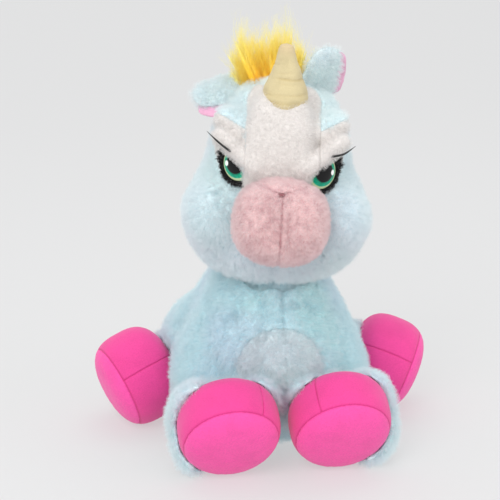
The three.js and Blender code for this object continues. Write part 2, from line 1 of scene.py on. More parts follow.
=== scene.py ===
# A seated plush unicorn: sewn panels of pile and fleece, glossy eyes, a cloth horn and a tufted mane.
# Shapes are worked out in millimetres in the toy's own axes: +Z up, -Y in front of the torso, +X on
# the toy's own left. The neck's pivot ties those axes to the shared frame.
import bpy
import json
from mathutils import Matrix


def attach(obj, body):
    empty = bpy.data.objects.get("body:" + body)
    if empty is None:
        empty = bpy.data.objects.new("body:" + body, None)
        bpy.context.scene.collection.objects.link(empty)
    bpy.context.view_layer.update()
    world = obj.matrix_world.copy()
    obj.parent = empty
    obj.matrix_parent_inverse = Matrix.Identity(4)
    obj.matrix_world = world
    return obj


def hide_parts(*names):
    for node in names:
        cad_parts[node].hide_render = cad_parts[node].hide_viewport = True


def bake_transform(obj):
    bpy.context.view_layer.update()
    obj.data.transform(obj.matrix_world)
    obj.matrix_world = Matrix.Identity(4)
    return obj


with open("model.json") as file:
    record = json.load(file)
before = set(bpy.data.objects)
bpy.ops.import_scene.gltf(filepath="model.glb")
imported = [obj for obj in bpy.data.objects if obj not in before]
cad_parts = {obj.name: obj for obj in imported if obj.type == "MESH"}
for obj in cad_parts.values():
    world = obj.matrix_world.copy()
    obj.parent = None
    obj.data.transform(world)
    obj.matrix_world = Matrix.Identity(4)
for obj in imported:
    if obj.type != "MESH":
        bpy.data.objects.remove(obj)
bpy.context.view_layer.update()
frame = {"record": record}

import copy
import itertools
import json
import math

import bpy
import numpy as np
import openvdb
from mathutils import Matrix, Vector

# ---------------------------------------------------------------- places, from the frame
MM = 0.001
JOINTS = {joint["name"]: joint for joint in frame["record"]["behaviour"]["joints"]}
NECK_PIVOT = np.array([0.0, -4.0, 127.0])
GROUND = np.array(JOINTS["head_turn"]["pos_m"]) - NECK_PIVOT * MM


def metres(points):
    """Points in millimetres in the toy's axes, as metres in the shared frame."""
    return np.asarray(points, dtype=float) * MM + GROUND


def turn(axis, degrees):
    return Matrix.Rotation(math.radians(degrees), 4, axis)


def axes_of(matrix):
    """A Blender matrix as (rotation, origin) arrays."""
    whole = np.array(matrix)
    return whole[:3, :3], whole[:3, 3]


def moved(points, matrix):
    """Lattice points moved by a matrix, in the lattice's own precision."""
    rotation, origin = axes_of(matrix)
    return points @ rotation.T.astype(np.float32) + origin.astype(np.float32)


def coordinates(points):
    """The x, y and z of an array of points."""
    return points[..., 0], points[..., 1], points[..., 2]


# The head's own axes: turned on the neck, lifted, and rolled.
HEAD = Matrix.Translation((0, -15, 187)) @ turn("Z", -10) @ turn("X", -8) @ turn("Y", 3)

# ---------------------------------------------------------------- shapes as distances


def lerp(a, b, share):
    return a + (b - a) * share


def smoothstep(value, low, high):
    share = np.clip((value - low) / (high - low), 0, 1)
    return share * share * (3 - 2 * share)


def join(a, b, soft):
    """Two shapes as one, with a fillet of that size between them."""
    share = np.clip(0.5 + 0.5 * (b - a) / soft, 0, 1)
    return lerp(b, a, share) - soft * share * (1 - share)


def keep(a, b, soft):
    """What is inside both shapes, with an edge rounded by that much."""
    return -join(-a, -b, soft)


def block_field(points, low, high, corner):
    """A box with rounded corners."""
    middle = (np.array(low, np.float32) + np.array(high, np.float32)) / 2
    half = (np.array(high, np.float32) - np.array(low, np.float32)) / 2 - corner
    away = np.abs(points - middle) - half
    outside = np.sqrt((np.maximum(away, 0) ** 2).sum(axis=-1))
    return outside + np.minimum(away.max(axis=-1), 0) - corner


def ellipsoid(points, middle, radii, squareness=2.0):
    scaled = np.abs((points - np.array(middle, np.float32)) / np.array(radii, np.float32))
    size = (scaled ** squareness).sum(axis=-1) ** (1 / squareness)
    return (size - 1) * min(radii)


def nearest_on(points, start, end):
    """The distance of each point to a straight stretch, and how far along it the nearest place is."""
    start = np.array(start, np.float32)
    along = np.array(end, np.float32) - start
    share = np.clip(((points - start) @ along) / float(along @ along), 0, 1)
    away = points - start - share[..., None] * along
    return np.sqrt((away * away).sum(axis=-1)), share


def rod(points, start, end, radius):
    return nearest_on(points, start, end)[0] - radius


def crease(points, route, width, depth):
    """How much a fold along the route lowers the surface."""
    reach = np.full(points.shape[:-1], 1e6, np.float32)
    for start, end in zip(route, route[1:]):
        reach = np.minimum(reach, nearest_on(points, start, end)[0])
    return depth * np.exp(-((reach / width) ** 2))


def rounded_rectangle(x, z, low, high, corner):
    middle = [(a + b) / 2 for a, b in zip(low, high)]
    half = [(b - a) / 2 - corner for a, b in zip(low, high)]
    across = np.abs(x - middle[0]) - half[0]
    up = np.abs(z - middle[1]) - half[1]
    outside = np.hypot(np.maximum(across, 0), np.maximum(up, 0))
    return outside + np.minimum(np.maximum(across, up), 0) - corner


NOISE_SIDE = 64
NOISE_TABLES = {}


def between_corners(part, corner_value):
    """The values at the eight corners round each point, mixed by how near the point is to each."""
    total = 0
    for step in np.ndindex(2, 2, 2):
        weight = 1
        for axis, ahead in enumerate(step):
            weight = weight * (part[..., axis] if ahead else 1 - part[..., axis])
        total = total + weight * corner_value(step)
    return total


def noise(points, size, seed):
    """A smooth random value from -1 to 1 at each point, with lumps about as wide as size."""
    if seed not in NOISE_TABLES:
        shape = (NOISE_SIDE, NOISE_SIDE, NOISE_SIDE)
        NOISE_TABLES[seed] = np.random.default_rng(seed).uniform(-1, 1, shape).astype(np.float32)
    table = NOISE_TABLES[seed]
    cells = points / np.array(size, np.float32)
    corner = np.floor(cells)
    part = cells - corner
    part = part * part * (3 - 2 * part)
    corner = corner.astype(np.int32)

    def corner_value(step):
        return table[tuple((corner[..., axis] + step[axis]) % NOISE_SIDE for axis in range(3))]

    return between_corners(part, corner_value)


class Room:
    """A box of evenly spaced points in which a shape is worked out as a field of distances."""

    def __init__(self, low, high, step, matrix=None):
        self.low = np.array(low, float)
        self.step = step
        counts = np.ceil((np.array(high) - self.low) / step).astype(int) + 1
        axes = [self.low[i] + step * np.arange(counts[i]) for i in range(3)]
        self.points = np.stack(np.meshgrid(*axes, indexing="ij"), axis=-1).astype(np.float32)
        self.matrix = matrix or Matrix.Identity(4)

    def even(self, field):
        """The same surface, with values that measure distance close to it."""
        slope = np.sqrt(sum(part * part for part in np.gradient(field, self.step)))
        return (field / np.maximum(slope, 0.2)).astype(np.float32)

    def seen_from(self, matrix):
        """This room's points in the axes of a matrix given in the toy's axes."""
        return moved(self.points, matrix.inverted() @ self.matrix)

    def skin(self, field):
        """The closed surface where the field is 0, as points and four-cornered faces."""
        band = 3 * self.step
        inside = np.pad(np.clip(field, -band, band), 1, constant_values=band).astype(np.float32)
        grid = openvdb.FloatGrid(band)
        grid.copyFromArray(inside)
        grid.transform = openvdb.createLinearTransform(voxelSize=self.step)
        points, quads = grid.convertToQuads(0.0)
        return points + self.low - self.step, quads

    def sample(self, field, points):
        """The field's value at any points in the room."""
        cells = (points - self.low) / self.step
        limit = np.array(field.shape) - 1.001
        cells = np.clip(cells, 0, limit)
        corner = cells.astype(int)
        part = cells - corner

        def corner_value(step):
            return field[tuple(corner[:, axis] + step[axis] for axis in range(3))]

        return between_corners(part, corner_value)

    def in_toy(self, points):
        rotation, origin = axes_of(self.matrix)
        return points @ rotation.T + origin

    def coarser(self):
        """The same room with every second point."""
        room = copy.copy(self)
        room.step = self.step * 2
        room.points = self.points[::2, ::2, ::2]
        return room


# ---------------------------------------------------------------- colours
BLUE = np.array([0.785, 0.91, 0.935])
MINT = np.array([0.79, 0.925, 0.925])
LAVENDER = np.array([0.84, 0.88, 0.945])
# A darker blue for the grain, and for the painted shade in the pile's low places and along the seams.
BLUE_GRAIN_AND_SHADE = np.array([0.52, 0.72, 0.78])
WHITE = np.array([0.86, 0.84, 0.825])
# A greyer white for random patches, and for the painted shade along the seams.
WHITE_MOTTLE_AND_SHADE = np.array([0.77, 0.745, 0.725])
PINK = np.array([0.90, 0.765, 0.765])
# A darker pink for the grain, and for the painted shade in the pile's low places and along the seams.
PINK_GRAIN_AND_SHADE = np.array([0.70, 0.49, 0.52])
EAR_PINK = np.array([0.93, 0.70, 0.81])
MAGENTA = np.array([0.93, 0.295, 0.595])
# Painted shade along the hoof seams.
MAGENTA_SEAM_SHADE = np.array([0.70, 0.09, 0.38])
SOLE_PINK = np.array([0.99, 0.345, 0.67])
CREAM = np.array([0.825, 0.765, 0.60])
# Painted shade in the horn's folds and at its foot.
CREAM_SHADE = np.array([0.72, 0.63, 0.42])
ORANGE = np.array([1.0, 0.72, 0.22])
YELLOW = np.array([1.0, 0.89, 0.34])
PALE_YELLOW = np.array([1.0, 0.96, 0.66])
LILAC_SHADE_AND_REFLECTION = np.array([0.80, 0.75, 0.87])  # painted shade and a painted pink reflection from the hooves, low on the belly
FLUFF = np.array([0.94, 0.94, 0.93])  # stuffing and label cloth
NOSE_THREAD = np.array([0.58, 0.38, 0.40])
MOUTH_THREAD = np.array([0.78, 0.58, 0.60])
HORN_TIP = np.array([0.82, 0.72, 0.58])
GLINT = np.array([0.98, 0.98, 0.97])


def mixed(a, b, share):
    share = np.clip(share, 0, 1)[:, None]
    return a * (1 - share) + b * share


def plain(colour, points):
    """One colour for every point."""
    return np.tile(colour, (len(points), 1))


def blue_dye_and_shade(points, height, seam):
    """Patchy pale blue, mint and lavender with a fine darker grain, and painted shade in the low places
    between the tufts and along the seams.
    """
    colour = mixed(BLUE[None], MINT, smoothstep(noise(points, 34, 11), -0.1, 0.6) * 0.6)
    colour = mixed(colour, LAVENDER, smoothstep(noise(points, 30, 12), 0.0, 0.65) * 0.4)
    colour = mixed(colour, BLUE_GRAIN_AND_SHADE, smoothstep(noise(points, 3.2, 71), 0.05, 0.6) * 0.22)
    # Painted shade: darker in the low places of the pile and along the seams.
    colour = mixed(colour, BLUE_GRAIN_AND_SHADE, smoothstep(-height, 0.2, 1.6) * 0.3)
    return mixed(colour, BLUE_GRAIN_AND_SHADE, smoothstep(seam, -1.6, 0.2) * 0.12)


def paler(dye_and_shade, share, white=0.97):
    """A dye, with its painted shade, mixed with that share of a white or light grey."""
    def paled_dye_and_shade(points, height, seam):
        return mixed(dye_and_shade(points, height, seam), np.full(3, white), np.full(len(points), share))
    return paled_dye_and_shade


def white_dye_and_shade(points, height, seam):
    colour = mixed(WHITE[None], WHITE_MOTTLE_AND_SHADE, smoothstep(noise(points, 20, 13), 0.1, 0.9) * 0.3)
    # Painted shade along the seams.
    return mixed(colour, WHITE_MOTTLE_AND_SHADE, smoothstep(seam, -1.4, 0.2) * 0.15)


def pink_dye_and_shade(points, height, seam):
    colour = mixed(PINK[None], PINK * 0.93, smoothstep(noise(points, 12, 14), -0.2, 0.8))
    colour = mixed(colour, PINK_GRAIN_AND_SHADE, smoothstep(noise(points, 2.3, 72), 0.05, 0.5) * 0.3)
    # Painted shade: darker in the low places of the pile and along the seams.
    colour = mixed(colour, PINK_GRAIN_AND_SHADE, smoothstep(-height, 0.0, 0.9) * 0.4)
    return mixed(colour, PINK_GRAIN_AND_SHADE, smoothstep(seam, -1.6, 0.3) * 0.2)


def fleece_dye_and_seam_shade(points, height, seam):
    colour = mixed(MAGENTA[None], MAGENTA * 0.975, smoothstep(noise(points, 9, 15), -0.2, 0.8))
    # Painted shade along the seams.
    return mixed(colour, MAGENTA_SEAM_SHADE, smoothstep(seam, -0.9, 0.1) * 0.35)


def sole_dye_and_seam_shade(points, height, seam):
    colour = mixed(SOLE_PINK[None], SOLE_PINK * 0.975, smoothstep(noise(points, 7, 16), -0.2, 0.8))
    # Painted shade along the seams.
    return mixed(colour, MAGENTA_SEAM_SHADE, smoothstep(seam, -0.9, 0.1) * 0.35)


def ear_dye(points, height, seam):
    return mixed(EAR_PINK[None], EAR_PINK * 0.9, smoothstep(noise(points, 8, 17), -0.2, 0.8))


def horn_dye_and_shade(points, height, seam):
    colour = mixed(CREAM[None], CREAM * 0.95, smoothstep(noise(points, 6, 18), -0.2, 0.8))
    # Painted shade in the folds.
    return mixed(colour, CREAM_SHADE, smoothstep(-height, 0.0, 0.8) * 0.4)


# ---------------------------------------------------------------- materials
PAINT = "paint"
MIX_FIRST, MIX_SECOND, MIX_RESULT = 6, 7, 2  # the colour sockets of a Mix node


class Nodes:
    """A material's node tree, with short calls to add to it."""

    def __init__(self, name):
        self.material = bpy.data.materials.new(name)
        self.material.use_nodes = True
        self.tree = self.material.node_tree
        self.shader = self.tree.nodes["Principled BSDF"]
        self.output = self.tree.nodes["Material Output"]

    def add(self, kind, **settings):
        node = self.tree.nodes.new(kind)
        for key, value in settings.items():
            setattr(node, key, value)
        return node

    def link(self, source, target):
        self.tree.links.new(source, target)

    def noise(self, scale, detail):
        texture = self.add("ShaderNodeTexNoise")
        texture.inputs["Scale"].default_value = scale
        texture.inputs["Detail"].default_value = detail
        place = self.add("ShaderNodeTexCoord").outputs["Object"]
        self.link(place, texture.inputs["Vector"])
        return texture.outputs["Fac"]

    def range(self, value, low, high):
        node = self.add("ShaderNodeMapRange")
        node.inputs["To Min"].default_value = low
        node.inputs["To Max"].default_value = high
        self.link(value, node.inputs["Value"])
        return node.outputs["Result"]

    def dye_and_shade(self):
        """The colour painted on the mesh: dye, with painted shade where the panels have it."""
        return self.add("ShaderNodeVertexColor", layer_name=PAINT).outputs["Color"]

    def shaded(self, colour, shade):
        """A colour made lighter and darker by a shade value, as the shader's colour."""
        mix = self.add("ShaderNodeMix", data_type="RGBA", blend_type="MULTIPLY")
        mix.inputs["Factor"].default_value = 1.0
        self.link(colour, mix.inputs[MIX_FIRST])
        self.link(shade, mix.inputs[MIX_SECOND])
        self.link(mix.outputs[MIX_RESULT], self.shader.inputs["Base Color"])
        return mix.outputs[MIX_RESULT]

    def bump(self, height, strength, distance):
        node = self.add("ShaderNodeBump")
        node.inputs["Strength"].default_value = strength
        node.inputs["Distance"].default_value = distance
        self.link(height, node.inputs["Height"])
        self.link(node.outputs["Normal"], self.shader.inputs["Normal"])

    def set(self, **values):
        for key, value in values.items():
            self.shader.inputs[key.replace("_", " ")].default_value = value


def pile_material(name, grain, sheen, depth, darkest=0.72):
    """Cloth with pile: a fine random grain of fibre tips for the bump, which also darkens the colour where
    the bump is low as painted shade, with a soft sheen.
    """
    nodes = Nodes(name)
    fibres = nodes.noise(grain, 4.0)
    # Painted shade: the colour darkens with the same grain that lowers the bump.
    nodes.shaded(nodes.dye_and_shade(), nodes.range(fibres, darkest, 1.12))
    nodes.bump(fibres, 0.6, depth)
    nodes.set(Roughness=0.95, Sheen_Weight=sheen, Sheen_Roughness=0.5, Specular_IOR_Level=0.15)
    return nodes.material


def hair_material(name, through, gamma):
    """Single fibres, which let that share of the light through and are paler than their pile."""
    nodes = Nodes(name)
    pale = nodes.add("ShaderNodeGamma")
    pale.inputs["Gamma"].default_value = gamma
    nodes.link(nodes.dye_and_shade(), pale.inputs["Color"])
    chance = nodes.add("ShaderNodeHairInfo").outputs["Random"]
    colour = nodes.shaded(pale.outputs["Color"], nodes.range(chance, 0.92, 1.06))
    nodes.set(Roughness=0.75, Specular_IOR_Level=0.2)
    glow = nodes.add("ShaderNodeBsdfTranslucent")
    nodes.link(colour, glow.inputs["Color"])
    both = nodes.add("ShaderNodeMixShader")
    both.inputs["Fac"].default_value = through
    nodes.link(nodes.shader.outputs["BSDF"], both.inputs[1])
    nodes.link(glow.outputs["BSDF"], both.inputs[2])
    nodes.link(both.outputs["Shader"], nodes.output.inputs["Surface"])
    return nodes.material


def smooth_material(name, rough, shine=0.5):
    """Moulded plastic."""
    nodes = Nodes(name)
    nodes.shaded(nodes.dye_and_shade(), nodes.range(nodes.noise(600, 2.0), 0.97, 1.03))
    nodes.set(Roughness=rough, Specular_IOR_Level=shine)
    return nodes.material


MATERIALS = {
    "blue_fur": pile_material("blue pile", 900, 0.3, 0.0006),
    "white_fur": pile_material("white pile", 1300, 0.25, 0.0003, 0.88),
    "pink_fur": pile_material("pink pile", 1000, 0.25, 0.0005),
    "ear_pink": pile_material("ear lining", 1300, 0.25, 0.0003),
    "hoof_fleece": pile_material("hoof fleece", 1500, 0.2, 0.0002),
    "sole_fleece": pile_material("sole fleece", 1000, 0.2, 0.0004),
    "horn_cloth": pile_material("horn cloth", 2200, 0.1, 0.0001),
    "mane_fur": pile_material("mane pile", 700, 0.2, 0.0003),
    "eye_gloss": smooth_material("eye gloss", 0.08, 0.28),
    "black_felt": pile_material("black plush", 1500, 0.05, 0.0003),
    "black_plastic": smooth_material("black plastic", 0.35),
    "thread": pile_material("thread", 3000, 0.1, 0.0001),
    "stuffing": pile_material("polyester filling", 500, 0.1, 0.0006),
    "label_cloth": pile_material("label cloth", 2500, 0.05, 0.0001),
}
HAIR = hair_material("fibres", 0.55, 0.36)
MANE_HAIR = hair_material("mane fibres", 0.65, 0.6)


# ---------------------------------------------------------------- pieces


def mesh_object(name, points, faces, colours=None):
    """An object with a smooth mesh; points are in metres in the shared frame."""
    mesh = bpy.data.meshes.new(name)
    mesh.from_pydata(np.asarray(points).tolist(), [], [tuple(map(int, face)) for face in faces])
    mesh.polygons.foreach_set("use_smooth", np.ones(len(mesh.polygons), bool))
    if colours is not None:
        paint = mesh.color_attributes.new(PAINT, "BYTE_COLOR", "CORNER")
        corners = np.zeros(len(mesh.loops), np.int32)
        mesh.loops.foreach_get("vertex_index", corners)
        whole = np.concatenate([np.clip(colours, 0, 1), np.ones((len(colours), 1))], axis=1)
        paint.data.foreach_set("color_srgb", whole[corners].astype(np.float32).ravel())
    mesh.update()
    piece = bpy.data.objects.new(name, mesh)
    bpy.context.scene.collection.objects.link(piece)
    return piece


def dress(piece, node, body, slot):
    """Gives a piece its material, hides the node or nodes it stands for, and attaches it to what it moves
    with.

    The body is one name, or two names and the two places between which the piece would bend; such a piece is
    left in the shared frame, attached to neither."""
    piece.data.materials.append(MATERIALS[slot])
    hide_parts(*([node] if isinstance(node, str) else node))
    if isinstance(body, str):
        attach(piece, body)
    else:
        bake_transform(piece)
    return piece


def weigh(piece, name, weights):
    """A vertex group from one weight for each point, in sixteen steps."""
    group = piece.vertex_groups.new(name=name)
    steps = np.round(np.clip(weights, 0, 1) * 16).astype(int)
    for step in range(1, 17):
        chosen = np.nonzero(steps == step)[0]
        if len(chosen):
            group.add(chosen.tolist(), step / 16, "REPLACE")


HAIR_SPEED = 0.25  # what Blender's fibre speeds are, for each metre of fibre
FIBRE_THICK = 0.00015


def grow_fibres(
    piece, count, length, droop=(0, 0, -0.2), children=12, clump=0.7, seed=1, wisp=0.35, fibre=None
):
    """Fibres on the part of the piece that its 'shown' weights cover."""
    piece.data.materials.append(fibre or HAIR)
    system = piece.modifiers.new("fibres", "PARTICLE_SYSTEM").particle_system
    system.seed = seed
    speed = length * HAIR_SPEED
    settings = {
        "type": "HAIR", "count": count, "hair_length": length, "use_advanced_hair": True,
        "emit_from": "FACE", "use_emit_random": True, "use_even_distribution": True,
        "hair_step": 3, "display_step": 3, "render_step": 3,
        "normal_factor": speed,
        "object_align_factor": [speed * part for part in droop],
        "factor_random": speed * 0.3,
        "child_type": "INTERPOLATED", "rendered_child_count": children,
        "child_length": 1.0, "child_length_threshold": 0.0,
        "clump_factor": clump, "clump_shape": 0.2,
        "roughness_1": length * wisp, "roughness_1_size": length * 0.8,
        "roughness_2": length * 0.5, "roughness_endpoint": length * 0.25,
        "root_radius": FIBRE_THICK / 2, "tip_radius": FIBRE_THICK / 6, "radius_scale": 1.0,
        "material": len(piece.data.materials),
    }
    for name, value in settings.items():
        setattr(system.settings, name, value)
    system.vertex_group_density = "shown"
    system.vertex_group_length = "long"


FUR_AREAS = {}


def fur_area(points, faces, shown):
    """The area in mm2 of a panel's outer side, where its fibres are."""
    corners = points[faces]
    first, second = corners[:, 2] - corners[:, 0], corners[:, 3] - corners[:, 1]
    area = 0.5 * np.linalg.norm(np.cross(first, second), axis=1)
    return float((area * shown[faces].mean(axis=1)).sum())


def soft_piece(room, field, cover, seam, node, body, slot, dye_and_shade, stands_for=None):
    """A closed sewn panel: cover is the smooth surface under its pile, seam the way to its edge."""
    points, faces = room.skin(field)
    height = room.sample(cover, points)
    edge = room.sample(seam, points)
    in_toy = room.in_toy(points)
    # The colouring paints shade from height, in the pile's low places, and from edge, along the seams.
    colours = dye_and_shade(in_toy.astype(np.float32), height, edge)
    piece = mesh_object(node + "_soft", metres(in_toy), faces, colours)
    shown = smoothstep(height, -1.9, -1.0)
    weigh(piece, "shown", shown)
    FUR_AREAS[node] = fur_area(in_toy, faces, shown)
    weigh(piece, "long", 0.65 + 0.35 * smoothstep(-edge, 0.0, 3.0))
    return dress(piece, stands_for or node, body, slot)


def stuffing(room, field, node, body):
    """The loose filling inside some panels, as a coarse closed shape."""
    soft = field + 0.7 * noise(room.points, 7.0, 19)
    points, faces = room.coarser().skin(soft[::2, ::2, ::2])
    in_toy = room.in_toy(points)
    colours = plain(FLUFF, points)
    piece = mesh_object(node + "_fluff", metres(in_toy), faces, colours)
    dress(piece, node, body, "stuffing")


# ---------------------------------------------------------------- head
NECK_BALL = 25.0
SHELL = 4.0  # a panel with the stuffing that clings to it
CUFF = 10.0  # the same for a sleeve, which is turned in where it meets its hoof
GAP = 0.6  # between a panel and what fills it
TOUCH = 0.35  # panels press into each other by this much at a seam
FUR_INSET = 2.5  # how far under the outline of the torso and legs the cloth lies, below its pile
# How softly a panel rolls into its seam.
FACE_SEAM = 0.6
FUR_SEAM = 0.8
HOOF_SEAM = 1.1

BLAZE = {"low": (-22, -6), "high": (24, 62), "corner": 10}
EYE = {"radius": 11.5, "crown": 5.5, "place": (25.4, -42, 12), "outward": 33, "felt": 14.3,
       "higher": {1: 0, -1: 2.4}}
SIDES = {"left": 1, "right": -1}


def mirrored(point, sign):
    return (sign * point[0], point[1], point[2])


def eye_axes(sign):
    """An eye's own axes: +Z looks out of the head."""
    x, y, z = EYE["place"]
    spot = Matrix.Translation((sign * x, y, z + EYE["higher"][sign]))
    return spot @ turn("Z", sign * EYE["outward"]) @ turn("X", 90)


def skull(points):
    """Narrow at the crown, wide and square at the jowls."""
    x, y, z = coordinates(points)
    crown = smoothstep(z / 66.5, -0.34, 0.34)
    squareness = lerp(3.0, 2.7, crown)
    half = lerp(57.2, 43.0, crown)
    deep = np.where(y < 0, 45.0, 52.5)
    across = np.hypot(x / half, y / deep)
    up = np.abs(z / np.where(z > 0, 64.5, 60.0))
    return ((across ** squareness + up ** squareness) ** (1 / squareness) - 1) * 48


def nose_bridge(points):
    """The long block of the nose, flat in front and square at its sides."""
    x, y, z = coordinates(points)
    flat = (np.abs((x + 1.2) / 23.5) ** 4 + np.abs((y + 25) / 31.5) ** 4) ** 0.5
    return (np.sqrt(flat + ((z - 19) / 48) ** 2) - 1) * 26


def sockets(points):
    """Where the eyes and the felt round them lie open."""
    open_room = np.full(points.shape[:-1], 1e3, np.float32)
    for sign in SIDES.values():
        local = moved(points, eye_axes(sign).inverted())
        radius = np.hypot(local[..., 0], local[..., 1])
        open_room = np.minimum(open_room, np.maximum(radius - EYE["felt"], -local[..., 2] - 1.0))
    return open_room


def face(points):
    """The head under its pile, with the brows drawn down over the eyes."""
    head = skull(points)
    for sign in SIDES.values():
        brow = rod(points, mirrored((24, -38, 34), sign), mirrored((35, -31, 40), sign), 6.8)
        head = join(head, brow, 12)
        cheek = ellipsoid(points, mirrored((39, -26, -18), sign), (17, 17, 18))
        head = join(head, cheek, 12)
    head = keep(head, -sockets(points), 1.5)
    for sign in SIDES.values():
        lid = rod(points, mirrored((15, -52, 13.5), sign), mirrored((37, -42, 30.5), sign), 5.5)
        head = join(head, lid, 4.5)
    head = join(head, nose_bridge(points), 3.5)
    for sign in SIDES.values():
        fold = [(24, -52, 27), (31, -47, 34), (41, -38, 39)]
        head = head + crease(points, [mirrored(place, sign) for place in fold], 2.4, 2.0)
    return head


MUZZLE_MIDDLE = 2.0  # the muzzle sits a little to the toy's left


def muzzle(points):
    middle = MUZZLE_MIDDLE
    shape = ellipsoid(points, (middle, -60, -7), (23, 23.5, 14.5))
    for sign in SIDES.values():
        lobe = ellipsoid(points, (middle + sign * 12.5, -61, -20), (15.7, 24, 20), 2.1)
        shape = join(shape, lobe, 7)
    shape = join(shape, ellipsoid(points, (middle, -58, -32.5), (14.5, 21.5, 11)), 8)
    slit = [(middle, -87, -2), (middle, -89, -16), (middle, -86, -33)]
    shape = shape + crease(points, slit, 2.6, 1.2)
    for sign in SIDES.values():
        branch = [(middle, -86, -33), (middle + sign * 5, -83, -36.5)]
        shape = shape + crease(points, branch, 1.3, 1.2)
    dent = nearest_on(points, (middle - 1.5, -86, 0), (middle + 1.5, -86, 0))[0]
    return shape + 3.0 * np.exp(-((dent / 3.2) ** 2))


def pile(points, size, height, seed):
    """Tufts: lumps about as wide as size, with smaller ones on them."""
    tufts = noise(points, size, seed) + 0.6 * noise(points, size * 0.52, seed + 1)
    return height * tufts


def make_head():
    room = Room((-70, -94, -71), (70, 62, 73), 1.3, HEAD)
    points = room.points
    x, y, z = coordinates(points)
    neck = nearest_on(room.seen_from(Matrix.Identity(4)), NECK_PIVOT, NECK_PIVOT + [0, 0, 1])[0]
    head = room.even(face(points))
    nose = room.even(muzzle(points))
    hollow = NECK_BALL + 2 - neck
    blaze = np.maximum(rounded_rectangle(x, z, BLAZE["low"], BLAZE["high"], BLAZE["corner"]), y + 4)
    patches = {}
    for side, sign in SIDES.items():
        outer = sign * x
        behind = (y + 37.2 - 1.24 * z) * 0.63
        box = keep(keep(z - 24.5 - 0.50 * outer, 0.08 * outer - 3.5 - z, 6), behind, 10)
        patches[side] = np.maximum(np.maximum(box, -blaze), y + 4)
    blue = np.maximum(-blaze, np.maximum(-patches["left"], -patches["right"]))
    short = head + pile(points, 3.2, 0.25, 21)
    long = head + pile(points, 5.5, 0.75, 23)
    inner = -(head + SHELL)
    regions = {
        "blaze": (blaze, short, "white_fur", white_dye_and_shade),
        "eye_patch_left": (patches["left"], short, "white_fur", white_dye_and_shade),
        "eye_patch_right": (patches["right"], short, "white_fur", white_dye_and_shade),
        # Painted light: the head's blue pile is made paler than the same pile on the torso, as the head
        # stands in more light.
        "head_fur_left": (np.maximum(blue, -x), long, "blue_fur", paler(blue_dye_and_shade, 0.45, 0.94)),
        "head_fur_right": (np.maximum(blue, x), long, "blue_fur", paler(blue_dye_and_shade, 0.45, 0.94)),
    }
    pieces = {}
    for node, (region, skin, slot, dye_and_shade) in regions.items():
        shell = np.maximum(np.maximum(skin, inner), hollow)
        field = keep(shell, region - TOUCH, FACE_SEAM)
        pieces[node] = soft_piece(room, field, head, region, node, "head", slot, dye_and_shade)
    stuffing(room, keep(head + SHELL + GAP, hollow, 2), "head_stuffing", "head")
    vee = z - 0.2 - 0.24 * np.abs(x - MUZZLE_MIDDLE)
    nose_skin = nose + pile(points, 2.4, 0.8, 25)
    nose_shell = np.maximum(nose_skin, -(nose + SHELL))
    nose_shell = keep(nose_shell, -(head + 0.2), 1.5)
    cheeks = {
        "muzzle_top": -vee,
        "muzzle_left": np.maximum(vee, -(x - MUZZLE_MIDDLE)),
        "muzzle_right": np.maximum(vee, x - MUZZLE_MIDDLE),
    }
    for node, region in cheeks.items():
        field = keep(nose_shell, region - TOUCH, FACE_SEAM)
        pieces[node] = soft_piece(room, field, nose, region, node, "head", "pink_fur", pink_dye_and_shade)
    filling = keep(nose + SHELL + GAP, GAP + 0.4 - head, 1)
    stuffing(room, filling, "muzzle_stuffing", "head")
    return pieces


# ---------------------------------------------------------------- torso and legs
TORSO_RINGS = np.array([  # height, half width, chest, back
    (0, 44, 2, 70), (14, 60, -14, 84), (34, 66, -36, 89), (56, 66, -45, 90),
    (80, 57, -43, 83), (102, 46, -37, 68), (122, 36, -31, 48), (138, 23, -20, 28),
])
TORSO_MIDDLE = 12
LEGS = {
    "front": {"sole": (36.6, -71, 24.2), "long": 68, "droop": 34, "forward": 90, "sleeve": 38.5,
              "root": [4, 12, 19, 28], "hoof": 33.2, "tall": 1.12, "reach": 22, "roll": 58},
    "hind": {"sole": (106, 50, 25.5), "long": 66, "droop": 22, "forward": 14, "sleeve": 33.5,
             "root": [4, 10, 15, 22], "hoof": 33.0, "tall": 1.0, "reach": 25.5, "roll": 30},
}
WIDER = {("hind", "left"): 6, ("front", "right"): 2.2, ("front", "left"): -2.4}
HOOF_LONG = 31
LIFT_FOLD = (36, -43, 71)


def leg_axes(end, side):
    """A leg's own axes, with +Z along it and the origin at its inner end."""
    leg, sign = LEGS[end], SIDES[side]
    forward, droop = math.radians(leg["forward"]), math.radians(leg["droop"])
    flat = Vector((sign * math.cos(forward), -math.sin(forward), 0))
    along = flat * math.cos(droop) - Vector((0, 0, math.sin(droop)))
    x, y, z = leg["sole"]
    sole = Vector((sign * (x + WIDER.get((end, side), 0)), y, z))
    across = Vector((0, 0, 1)).cross(along).normalized()
    over = along.cross(across)
    matrix = Matrix((across, over, along)).transposed().to_4x4()
    matrix.translation = sole - along * leg["long"]
    return matrix


def spline(values, places, at):
    """A smooth curve through values at places, read at other places."""
    slopes = np.gradient(values, places)
    index = np.clip(np.searchsorted(places, at) - 1, 0, len(places) - 2)
    gap = places[index + 1] - places[index]
    t = np.clip((at - places[index]) / gap, 0, 1)
    a, b = values[index], values[index + 1]
    first, second = slopes[index] * gap, slopes[index + 1] * gap
    return (a * (1 + 2 * t) + first * t) * (1 - t) ** 2 + (b * (3 - 2 * t) - second * (1 - t)) * t * t


